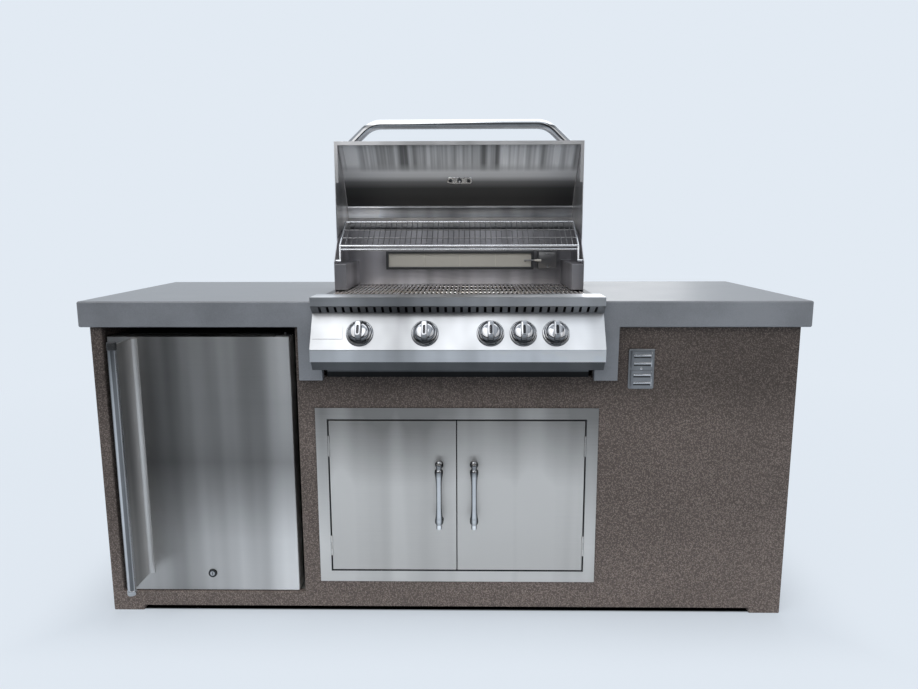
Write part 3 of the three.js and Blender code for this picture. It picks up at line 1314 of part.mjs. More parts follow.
function makeHood(grill) {
  const hood = group(grill, 0, pivotY, pivotZ);
  hood.rotation.x = -THREE.MathUtils.degToRad(openDegrees);
  const half = hoodWide / 2;
  const { curve, points } = hoodOutline();
  const inner = offset(points, hoodSheet);
  const band = new THREE.Shape([...points].reverse().concat(inner));
  const low = points[0];
  const lipBack = low.x + hoodHem;
  const last = points[points.length - 1];
  const swing = pivotZ - counterTop - swingClearance;
  const swingFrom = Math.asin(low.y / swing);
  const rear = swingShares.map((share) => {
    const angle = swingFrom * (1 - share) + swingTo * share;
    return new THREE.Vector2(swing * Math.cos(angle), swing * Math.sin(angle));
  });
  const side = new THREE.Shape([...points].reverse().concat(rear));
  const hemSide = hoodHem - hemShort;
  const sideAt = half - hoodSheet;
  const skin = [
    sideways(band, -half, hoodWide),
    box(-half, half, low.x, lipBack, low.y, low.y + hoodSheet),
    box(-half, half, lipBack - hoodSheet, lipBack, low.y, low.y + hoodHem),
  ];
  for (const s of [-1, 1]) {
    const x0 = s < 0 ? -half : sideAt;
    skin.push(sideways(side, x0, hoodSheet));
  }
  // The hem stops short of the wings, which stand just inside the hood's sides
  const hemEnd = wingFront - pivotY - overrun;
  const hemX = s => (s < 0 ? [-half, -half + hemSide] : [half - hemSide, half]);
  for (const s of [-1, 1]) {
    const [x0, x1] = hemX(s);
    skin.push(box(x0, x1, low.x, hemEnd, low.y, low.y + hoodSheet));
  }
  const thermoShare = 0.57;
  const spot = curve.getPoint(thermoShare);
  const along = curve.getTangent(thermoShare);
  const outward = at(0, -along.y, along.x);
  const spot3 = at(0, spot.x, spot.y);
  const stem = 5;
  const tools = [
    rod(at(-half - overrun, 0, 0), at(half + overrun, 0, 0), pivotRadius + gap, 16),
    rod(spot3.clone().addScaledVector(outward, -overrun), spot3.clone().addScaledVector(outward, overrun),
      stem + gap, 12),
  ];
  add(hood, 'hood_shell', cut(join(...skin), ...tools), brushed());

  // Thermometer: a dial outside, a stem through the skin and an oval back plate inside
  const dialR = 38;
  const dialDeep = 16;
  const dialRim = 7;
  const dialDish = 2;
  const dialRound = 4;
  const dialBack = 5;
  const stemDeep = 14;
  const stemTip = 4;
  const plateW = 84;
  const plateH = 26;
  const plateT = 2.5;
  const chord = 1.6;
  const skinFront = gap + chord;
  const stemLow = -hoodSheet - skinFront - stemDeep;
  const dial = [
    [0, stemLow], [stem - hemShort, stemLow], [stem, stemLow + stemTip], [stem, skinFront],
    [dialR - dialBack, skinFront], [dialR, skinFront + dialDish], [dialR, dialDeep - dialRound],
    [dialR - dialRound, dialDeep], [dialR - dialRim, dialDeep - dialDish], [0, dialDeep - dialDish],
  ];
  const plateEnd = plateH / 2 - hemShort;
  const backPlate = roundedRectangle(-plateW / 2, plateW / 2, -plateH / 2, plateH / 2, plateEnd);
  const backSolid = lying(backPlate, 0, plateT, 6);
  const turn = new THREE.Quaternion().setFromUnitVectors(axisZ, outward);
  backSolid.applyQuaternion(turn);
  const backSpot = spot3.clone().addScaledVector(outward, -hoodSheet - skinFront - plateT);
  backSolid.translate(backSpot.x, backSpot.y, backSpot.z);
  add(hood, 'hood_thermometer', join(turned(dial, spot3, outward, 20), backSolid), polished());

  // Bent tube handle on the hood's front
  const r = hoodHandleRadius;
  const footY = low.x - gap;
  const barZ = low.y + hoodHandleLift;
  const barY = low.x - hoodHandleStand;
  const spread = hoodHandleSpan / 2;
  const straight = hoodHandleStraight / 2;
  const run = rounded([
    at(-spread, footY, barZ), at(-straight, barY, barZ), at(straight, barY, barZ), at(spread, footY, barZ),
  ], hoodHandleBend, 6);
  const reach = at(spread - straight, hoodHandleStand, 0).normalize().multiplyScalar(2 * r);
  run[0] = run[0].clone().add(at(-reach.x, reach.y, 0));
  run[run.length - 1] = run[run.length - 1].clone().add(at(reach.x, reach.y, 0));
  const bar = cut(tube(run, r, 14),
    box(-counterWidth, counterWidth, footY, footY + 4 * r, barZ - 2 * r, barZ + 2 * r));
  add(hood, 'hood_handle', bar, polished());
}

const { floorTop } = makeCabinet();
makeCounter();
makeFridge(floorTop);
makeAccess();
makeOutlet();
const grill = group(island, grillX, 0, 0);
makePanel(grill);
makeKnobs(grill);
makeManifold(grill);
const { flangeHigh, inside } = makeFirebox(grill);
makeBurners(grill, inside);
makeGrates(grill, inside);
makeRearHousing(grill, flangeHigh);
makeRearBurner(grill);
makeRack(grill);
makeTray(grill);
makeHood(grill);

// Origin at the bottom centre of the whole island
island.updateMatrixWorld(true);
const extent = new THREE.Box3().setFromObject(island, true);
const middle = extent.getCenter(new THREE.Vector3());
island.position.set(-middle.x, -middle.y, -extent.min.z);

export default island;
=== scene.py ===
import math

import bmesh
import bpy
from mathutils import Matrix, Vector


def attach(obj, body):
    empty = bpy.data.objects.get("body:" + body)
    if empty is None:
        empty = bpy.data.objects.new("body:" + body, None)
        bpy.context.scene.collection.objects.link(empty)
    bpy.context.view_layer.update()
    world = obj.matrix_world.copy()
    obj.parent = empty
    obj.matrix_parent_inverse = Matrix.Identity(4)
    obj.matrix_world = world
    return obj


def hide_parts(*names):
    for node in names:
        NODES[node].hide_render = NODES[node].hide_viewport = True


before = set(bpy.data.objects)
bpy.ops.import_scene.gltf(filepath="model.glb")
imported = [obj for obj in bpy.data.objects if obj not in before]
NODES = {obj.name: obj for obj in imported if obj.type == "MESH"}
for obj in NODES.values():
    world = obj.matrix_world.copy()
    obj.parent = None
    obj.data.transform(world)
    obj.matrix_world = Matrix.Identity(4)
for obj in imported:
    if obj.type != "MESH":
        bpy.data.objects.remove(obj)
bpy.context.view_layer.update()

# Forms are worked out in millimetres, from the counter's middle, its front edge and the floor.
DEPTH_SHIFT = 282.25
GRILL_X = 41.0


def mm(x, y, z):
    return Vector((x / 1000, y / 1000, z / 1000))


def place(x, y, z):
    return mm(x, y - DEPTH_SHIFT, z)


# Camera, floor and light
IMAGE_WIDE = 918
FOCAL_PIXELS = 715.14
SENSOR_WIDE = 36.0
CAMERA_AT = (72.3, -1910.3, 1118.5)
CAMERA_TURN, CAMERA_DROP, CAMERA_ROLL = 0.839, 9.578, -0.14

BACKGROUND = (0.760, 0.823, 0.896, 1.0)
AMBIENT = (0.90, 0.95, 1.0, 1.0)
AMBIENT_STRENGTH = 0.40
DIM_STUDIO = 0.12
FAR_FLOOR = (0.22, 0.235, 0.25, 1.0)
FLOOR_MIDDLE = (0, 3, -0.0005)
FOOTPRINT = (0.94, 0.26, 0)
SOFT = "SMOOTHSTEP"


def make_camera():
    scene = bpy.context.scene
    camera = bpy.data.objects.new("camera", bpy.data.cameras.new("camera"))
    scene.collection.objects.link(camera)
    camera.data.sensor_width = SENSOR_WIDE
    camera.data.lens = FOCAL_PIXELS / IMAGE_WIDE * SENSOR_WIDE
    camera.data.clip_end = 50
    camera.location = place(*CAMERA_AT)
    turn = Matrix.Rotation(math.radians(CAMERA_TURN), 4, "Z")
    turn = turn @ Matrix.Rotation(math.radians(90 - CAMERA_DROP), 4, "X")
    turn = turn @ Matrix.Rotation(math.radians(CAMERA_ROLL), 4, "Z")
    camera.rotation_euler = turn.to_euler()
    scene.camera = camera
    scene.view_settings.view_transform = "Standard"


class Graph:
    """The nodes of a material or of the world, with short calls to add and join them."""

    def __init__(self, owner, clear=False):
        owner.use_nodes = True
        self.tree = owner.node_tree
        if clear:
            self.tree.nodes.clear()

    def node(self, kind, inputs=None, **settings):
        """Adds a node. Each of its inputs is given a value or the output that feeds it."""
        made = self.tree.nodes.new("ShaderNode" + kind)
        for key, value in settings.items():
            setattr(made, key, value)
        for key, value in (inputs or {}).items():
            if isinstance(value, bpy.types.NodeSocket):
                self.tree.links.new(value, made.inputs[key])
            else:
                made.inputs[key].default_value = value
        return made

    def math(self, operation, *values):
        return self.node("Math", dict(enumerate(values)), operation=operation).outputs[0]

    def vector(self, operation, *values):
        return self.node("VectorMath", dict(enumerate(values)), operation=operation).outputs

    def scaled(self, vector, factor):
        return self.node("VectorMath", {0: vector, "Scale": factor}, operation="SCALE").outputs[0]

    def total(self, *parts):
        """The sum of parts, each a value and its weight."""
        values = [self.math("MULTIPLY", value, weight) for value, weight in parts]
        added = values[0]
        for value in values[1:]:
            added = self.math("ADD", added, value)
        return added

    def ramp(self, factor, low, high, start=0.0, end=1.0, curve="LINEAR"):
        """Goes from low to high while the factor goes from start to end."""
        inputs = {"Value": factor, "From Min": start, "From Max": end, "To Min": low, "To Max": high}
        return self.node("MapRange", inputs, interpolation_type=curve).outputs["Result"]

    def axes(self, source):
        return self.node("SeparateXYZ", {0: source}).outputs

    def mix(self, factor, first, second, **settings):
        return self.node("Mix", {0: factor, 6: first, 7: second}, data_type="RGBA", **settings).outputs[2]


def make_world():
    """A pale studio. Metal sees it dim ahead of the object, below the lamps and beside two flags."""
    world = bpy.data.worlds.new("studio")
    bpy.context.scene.world = world
    graph = Graph(world, clear=True)
    ray = graph.node("LightPath").outputs
    way = graph.axes(graph.node("TexCoord").outputs["Generated"])
    ahead = graph.ramp(way["Y"], 1.0, 0.0, -0.65, -0.15, SOFT)
    below = graph.ramp(way["Z"], 1.0, 0.0, 0.42, 0.66, SOFT)
    aside = graph.math("ABSOLUTE", way["X"])
    flag = graph.math("MULTIPLY", graph.ramp(aside, 0.0, 1.0, 0.26, 0.34, SOFT),
                      graph.ramp(aside, 1.0, 0.0, 0.74, 0.82, SOFT))
    dark = graph.math("MAXIMUM", graph.math("MULTIPLY", ahead, below), graph.math("MULTIPLY", flag, ahead))
    dark = graph.math("MULTIPLY", dark, ray["Is Glossy Ray"])
    strength = graph.ramp(dark, 1.0, DIM_STUDIO, 0.0, 1.0, SOFT)
    seen = graph.node("Background", {"Color": BACKGROUND, "Strength": strength})
    lit = graph.node("Background", {"Color": AMBIENT, "Strength": AMBIENT_STRENGTH})
    shown = graph.math("MAXIMUM", ray["Is Camera Ray"], ray["Is Glossy Ray"])
    shown = graph.math("MAXIMUM", shown, ray["Is Transmission Ray"])
    mixed = graph.node("MixShader", {0: shown, 1: lit.outputs[0], 2: seen.outputs[0]})
    graph.node("OutputWorld", {"Surface": mixed.outputs[0]})


def make_floor():
    """Pale paint that runs into the background, glowing less close to the base so its shadow shows, with
    painted shade under it: black inside the base's footprint.
    """
    mesh = bpy.data.meshes.new("floor")
    bm = bmesh.new()
    bmesh.ops.create_grid(bm, x_segments=1, y_segments=1, size=14)
    bm.to_mesh(mesh)
    bm.free()
    floor = bpy.data.objects.new("floor", mesh)
    bpy.context.scene.collection.objects.link(floor)
    floor.location = FLOOR_MIDDLE
    material = bpy.data.materials.new("floor_paint")
    graph = Graph(material, clear=True)
    ray = graph.node("LightPath").outputs
    spot = graph.vector("ADD", graph.node("TexCoord").outputs["Object"], (0, FLOOR_MIDDLE[1], 0))[0]
    away = graph.vector("LENGTH", spot)["Value"]
    past = graph.axes(graph.vector("SUBTRACT", graph.vector("ABSOLUTE", spot)[0], FOOTPRINT)[0])
    outside = graph.math("MAXIMUM", past["X"], past["Y"])
    close = graph.ramp(outside, 0.45, 1.0, -0.01, 0.30, SOFT)
    # Painted shade: the floor is black inside the base's footprint, with no glow there.
    painted_shade_under = graph.ramp(outside, 0.0, 1.0, -0.012, -0.004)
    glowing = graph.math("MULTIPLY", graph.ramp(away, 0.90, 1.0, 1.4, 4.0, SOFT), close)
    glowing = graph.math("MULTIPLY", glowing, ray["Is Camera Ray"])
    glowing = graph.math("MULTIPLY", glowing, painted_shade_under)
    tone = graph.mix(graph.ramp(away, 0.0, 1.0, 2.2, 7.5, SOFT), BACKGROUND, FAR_FLOOR)
    matte = graph.node("BsdfDiffuse", {"Color": graph.scaled(tone, painted_shade_under)})
    glow = graph.node("Emission", {"Color": BACKGROUND, "Strength": 1.0})
    mixed = graph.node("MixShader", {0: glowing, 1: matte.outputs[0], 2: glow.outputs[0]})
    graph.node("OutputMaterial", {"Surface": mixed.outputs[0]})
    mesh.materials.append(material)


def make_lights():
    rows = [
        ("key", (-1.6, -3.2, 3.2), 3.4, 70),
        ("fill", (2.6, -2.8, 2.4), 3.0, 34),
        ("top", (0.0, 0.5, 4.0), 4.0, 62),
        ("rear", (0.5, 4.0, 2.8), 3.0, 40),
    ]
    for name, where, size, power in rows:
        lamp = bpy.data.lights.new(name, "AREA")
        lamp.shape = "SQUARE"
        lamp.size = size
        lamp.energy = power
        obj = bpy.data.objects.new(name, lamp)
        bpy.context.scene.collection.objects.link(obj)
        obj.location = where
        aim = Vector((0, 0, 0.6)) - Vector(where)
        obj.rotation_euler = aim.to_track_quat("-Z", "Y").to_euler()


# Materials
GRAIN_FINE, GRAIN_LONG = 700, 6
GRAIN_SCALES = {
    "X": (GRAIN_LONG, GRAIN_FINE, GRAIN_FINE),
    "Y": (GRAIN_FINE, GRAIN_LONG, GRAIN_FINE),
    "Z": (GRAIN_FINE, GRAIN_FINE, GRAIN_LONG),
}
# Scale of the upright bands of painted reflection in brushed steel
REFLECTION_BAND_SCALE = (9, 9, 0.3)


def opaque(color):
    return tuple(color) + (1.0,)


def shade(color, factor):
    return tuple(max(0.0, min(1.0, c * factor)) for c in color)


class Look(Graph):
    """A piece's material, with short calls for its procedural textures."""

    def __init__(self, name, color, rough, metal=0.0):
        self.material = bpy.data.materials.new(name)
        super().__init__(self.material)
        self.surface = self.tree.nodes["Principled BSDF"].inputs
        self.material.diffuse_color = opaque(color)
        self.set("Base Color", opaque(color))
        self.set("Roughness", rough)
        self.set("Metallic", metal)
        self.coord = self.node("TexCoord").outputs["Object"]

    def set(self, key, value):
        self.surface[key].default_value = value

    def feed(self, key, source):
        self.tree.links.new(source, self.surface[key])
        return source

    def noise(self, scale, detail=4.0, vector=None, rough=0.55):
        inputs = {"Scale": scale, "Detail": detail, "Roughness": rough, "Vector": vector or self.coord}
        return self.node("TexNoise", inputs).outputs["Fac"]

    def drawn(self, scale, detail=3.0):
        """Noise drawn out along the axes of a low scale."""
        vector = self.node("Mapping", {"Scale": scale, "Vector": self.coord}).outputs["Vector"]
        return self.noise(1.0, detail, vector)

    def cells(self, scale, randomness=1.0):
        inputs = {"Scale": scale, "Randomness": randomness, "Vector": self.coord}
        return self.node("TexVoronoi", inputs).outputs["Distance"]

    def tint(self, factor, dark, light):
        """Base colour between two colours by a factor."""
        return self.feed("Base Color", self.mix(factor, opaque(dark), opaque(light)))

    def tones(self, share, stops, blue=1.0):
        """Greys by stops of (share of the way, value)."""
        made = self.node("ValToRGB", {0: share})
        elements = made.color_ramp.elements
        while len(elements) < len(stops):
            elements.new(0.5)
        for element, (spot, value) in zip(elements, stops):
            element.position = spot
            element.color = (value, value, value * blue, 1.0)
        return made.outputs[0]

    def zones(self, color, rows):
        """Scales a colour along the axes by rows of (axis, start, end, stops)."""
        spot = self.axes(self.coord)
        for axis, start, end, stops in rows:
            tones = self.tones(self.ramp(spot[axis], 0.0, 1.0, start, end), stops)
            color = self.feed("Base Color", self.mix(1.0, color, tones, blend_type="MULTIPLY"))
        return color

    def paint_crease_shade(self, color, dark, low, high):
        """Painted shade in creases and hollows, from the surface's pointiness; edges keep the colour."""
        pointed = self.node("NewGeometry").outputs["Pointiness"]
        self.feed("Base Color", self.mix(self.ramp(pointed, 0.0, 1.0, low, high), opaque(dark), color))

    def roughness(self, factor, low, high):
        self.feed("Roughness", self.ramp(factor, low, high, 0.3, 0.7))

    def bump(self, height, strength, distance):
        inputs = {"Strength": strength, "Distance": distance, "Height": height}
        self.feed("Normal", self.node("Bump", inputs).outputs["Normal"])


def steel(name, color, rough, grain, grain_and_reflection_swing, reflection_fade_up=None, across=None, brushed=0.6, metal=1.0, cloud=1.0,
          zones=(), fine_share=0.14):
    """Brushed stainless: fine grain one way, soft upright bands of painted reflection, smudges in its
    roughness, and slow painted reflection fades up and across.
    """
    look = Look(name, color, rough, metal)
    fine = look.drawn(GRAIN_SCALES[grain])
    # Painted reflection: soft upright bands of brightness in the colour.
    reflection_bands = look.drawn(REFLECTION_BAND_SCALE, 2.0)
    smudge = look.noise(3.0, 5.0)
    factor = look.total((fine, fine_share), (reflection_bands, 1 - fine_share))
    # cloud sets how strongly the grain and the painted reflection bands swing the colour.
    factor = look.ramp(factor, 0.5 - 0.5 * cloud, 0.5 + 0.5 * cloud)
    spot = look.axes(look.coord)
    # Painted reflection: slow fades of brightness up and across.
    for axis, slope in (("Z", reflection_fade_up), ("X", across)):
        if slope:
            start, end, amount = slope
            factor = look.math("ADD", factor, look.ramp(spot[axis], amount, -amount, start, end))
    factor = look.ramp(factor, 0.0, 1.0, 0.34, 0.66)
    look.zones(look.tint(factor, shade(color, 1 - grain_and_reflection_swing), shade(color, 1 + grain_and_reflection_swing)), zones)
    fine_part = 2.5 * fine_share
    look.roughness(look.total((smudge, 1 - fine_part), (fine, fine_part)), rough * 0.9, rough * 1.16)
    look.bump(fine, 1.15 * fine_share, 0.00003)
    look.set("Anisotropic", brushed)
    look.feed("Tangent", look.node("Tangent", direction_type="RADIAL", axis="Z").outputs[0])
    return look.material


def liner_sheet(name):
    """The hood's lining, all painted reflection and shade: bright streaks at the top, a painted sheen where
    it curves, and painted shade below.
    """
    look = Look(name, (0.5, 0.5, 0.5), 0.24, 0.35)
    height = look.axes(look.coord)["Z"]
    # Painted reflection and shade by height: dark below, a bright sheen band, a lighter streaked top.
    tone = look.tones(look.ramp(height, 0.0, 1.0, 1.16, 1.36), [
        (0.0, 0.03), (0.20, 0.028), (0.36, 0.05), (0.46, 0.20), (0.54, 0.70), (0.60, 0.80), (0.655, 0.56),
        (0.70, 0.60), (0.93, 0.68), (1.0, 0.50)], 1.01)
    # Painted reflection: upright streaks of brightness at the top.
    wide = look.drawn((9.0, 0.6, 0.6), 2.0)
    fine = look.drawn((48.0, 0.8, 0.8), 2.0)
    painted_streaks = look.ramp(look.total((wide, 0.55), (fine, 0.45)), 0.36, 1.75, 0.39, 0.61)
    upper = look.ramp(height, 0.0, 1.0, 1.280, 1.306)
    level = look.node("Mix", {0: upper, 2: 1.0, 3: painted_streaks}, data_type="FLOAT").outputs[0]
    look.feed("Base Color", look.scaled(tone, level))
    look.feed("Roughness", look.ramp(fine, 0.29, 0.37))
    look.bump(look.drawn(GRAIN_SCALES["X"]), 0.08, 0.00002)
    return look.material


def chrome(name, color, rough=0.08, zones=()):
    """Polished plating with faint smudges; its zones, where given, paint reflection bands into the colour."""
    look = Look(name, color, rough, 1.0)
    smudge = look.noise(22.0, 6.0)
    tinted = look.tint(look.ramp(smudge, 0.0, 1.0, 0.3, 0.7), shade(color, 0.93), shade(color, 1.03))
    look.zones(tinted, zones)
    look.roughness(smudge, rough * 0.6, rough * 1.6)
    look.bump(look.noise(260.0, 3.0), 0.05, 0.00002)
    return look.material


def sand_coat(name, color):
    """Trowelled stucco with sand grains: raised grains over a slow unevenness, darker in its pits, lighter
    towards the bottom, with painted shade along the top of the walls under the counter and in its creases.
    """
    look = Look(name, color, 0.95)
    look.set("Specular IOR Level", 0.2)
    grains = look.noise(340.0, 3.0, rough=0.65)
    lumps = look.noise(120.0, 4.0)
    slow = look.noise(5.0, 5.0)
    pits = look.ramp(look.cells(260.0), 1.0, 0.0, 0.05, 0.6)
    height = look.total((grains, 0.6), (pits, 0.5), (lumps, 0.5))
    factor = look.ramp(look.total((height, 0.62), (slow, 0.14)), 0.0, 1.0, 0.42, 0.72)
    # Painted shade along the top of the walls, under the counter and the grill's panel; lighter towards the
    # bottom.
    color_out = look.zones(look.tint(factor, shade(color, 0.52), shade(color, 1.5)), [
        ("Z", 0.0, 0.85, [(0.0, 1.35), (0.15, 1.25), (0.4, 1.0), (0.66, 1.0), (0.80, 0.64), (1.0, 0.66)])])
    # Painted shade in the creases and hollows of the stucco.
    look.paint_crease_shade(color_out, shade(color, 0.7), 0.40, 0.47)
    look.roughness(slow, 0.9, 1.0)
    look.bump(height, 1.0, 0.0022)
    return look.material


def concrete(name, color):
    """Sealed concrete: cloudy tone, fine sand, small air holes and painted shade in its creases."""
    look = Look(name, color, 0.34)
    look.set("Specular IOR Level", 0.65)
    cloud = look.noise(4.0, 7.0, rough=0.6)
    fine = look.noise(420.0, 3.0)
    pores = look.ramp(look.cells(90.0), 0.0, 1.0, 0.03, 0.12)
    factor = look.math("MULTIPLY", look.total((cloud, 0.75), (fine, 0.25)), look.ramp(pores, 0.86, 1.0))
    factor = look.ramp(factor, 0.0, 1.0, 0.34, 0.64)
    color_out = look.tint(factor, shade(color, 0.74), shade(color, 1.2))
    # Painted shade in the creases and hollows of the concrete.
    look.paint_crease_shade(color_out, shade(color, 0.8), 0.44, 0.49)
    look.roughness(cloud, 0.29, 0.42)
    look.bump(look.total((fine, 0.35), (pores, 1.0)), 0.35, 0.0006)
    return look.material


def moulded(name, color, rough, grain=500.0):
    """Moulded plastic, rubber or paint with a fine grain."""
    look = Look(name, color, rough)
    fine = look.noise(grain, 3.0)
    slow = look.noise(9.0, 4.0)
    look.tint(look.ramp(slow, 0.0, 1.0, 0.3, 0.7), shade(color, 0.9), shade(color, 1.08))
    look.roughness(slow, rough * 0.85, min(1.0, rough * 1.15))
    look.bump(fine, 0.3, 0.00006)
    return look.material


def heated(name, color, rough):
    """Steel that has been over the flame: straw and blue-brown clouds and a dull grain."""
    look = Look(name, color, rough, 1.0)
    cloud = look.noise(11.0, 6.0)
    fine = look.drawn((500, 12, 500))
    factor = look.ramp(look.total((cloud, 0.7), (fine, 0.3)), 0.0, 1.0, 0.36, 0.62)
    warm = (color[0] * 0.9, color[1] * 0.78, color[2] * 0.66)
    look.tint(factor, warm, shade(color, 1.15))
    look.roughness(cloud, rough * 0.8, min(1.0, rough * 1.25))
    look.bump(fine, 0.3, 0.00005)
    return look.material


def perforated(name, color):
    """Ceramic burner tile: rows of small flame holes in a chalky face."""
    look = Look(name, color, 0.85)
    holes = look.ramp(look.cells(240.0, 0.12), 0.0, 1.0, 0.22, 0.36)
    slow = look.noise(14.0, 4.0)
    factor = look.math("MULTIPLY", holes, look.ramp(slow, 0.82, 1.0))
    look.tint(factor, shade(color, 0.62), shade(color, 1.06))
    look.roughness(slow, 0.75, 0.95)
    look.bump(holes, 0.5, 0.0008)
    return look.material


def pane(name, color):
    """Clear glass with a faint smear."""
    look = Look(name, color, 0.04)
    look.set("Transmission Weight", 0.9)
    look.set("IOR", 1.45)
    smear = look.noise(16.0, 4.0)
    look.tint(look.ramp(smear, 0.0, 1.0, 0.3, 0.7), shade(color, 0.95), shade(color, 1.02))
    look.roughness(smear, 0.02, 0.09)
    look.bump(look.noise(60.0, 2.0), 0.03, 0.0001)
    return look.material


# Where the front faces of the doors and their frame lie, and how far back their folded edges reach; just
# behind the faces these edges are painted near black as shade in the gaps
FACE_Y = -0.26225
GAP_SHADE_DEEP = 0.016

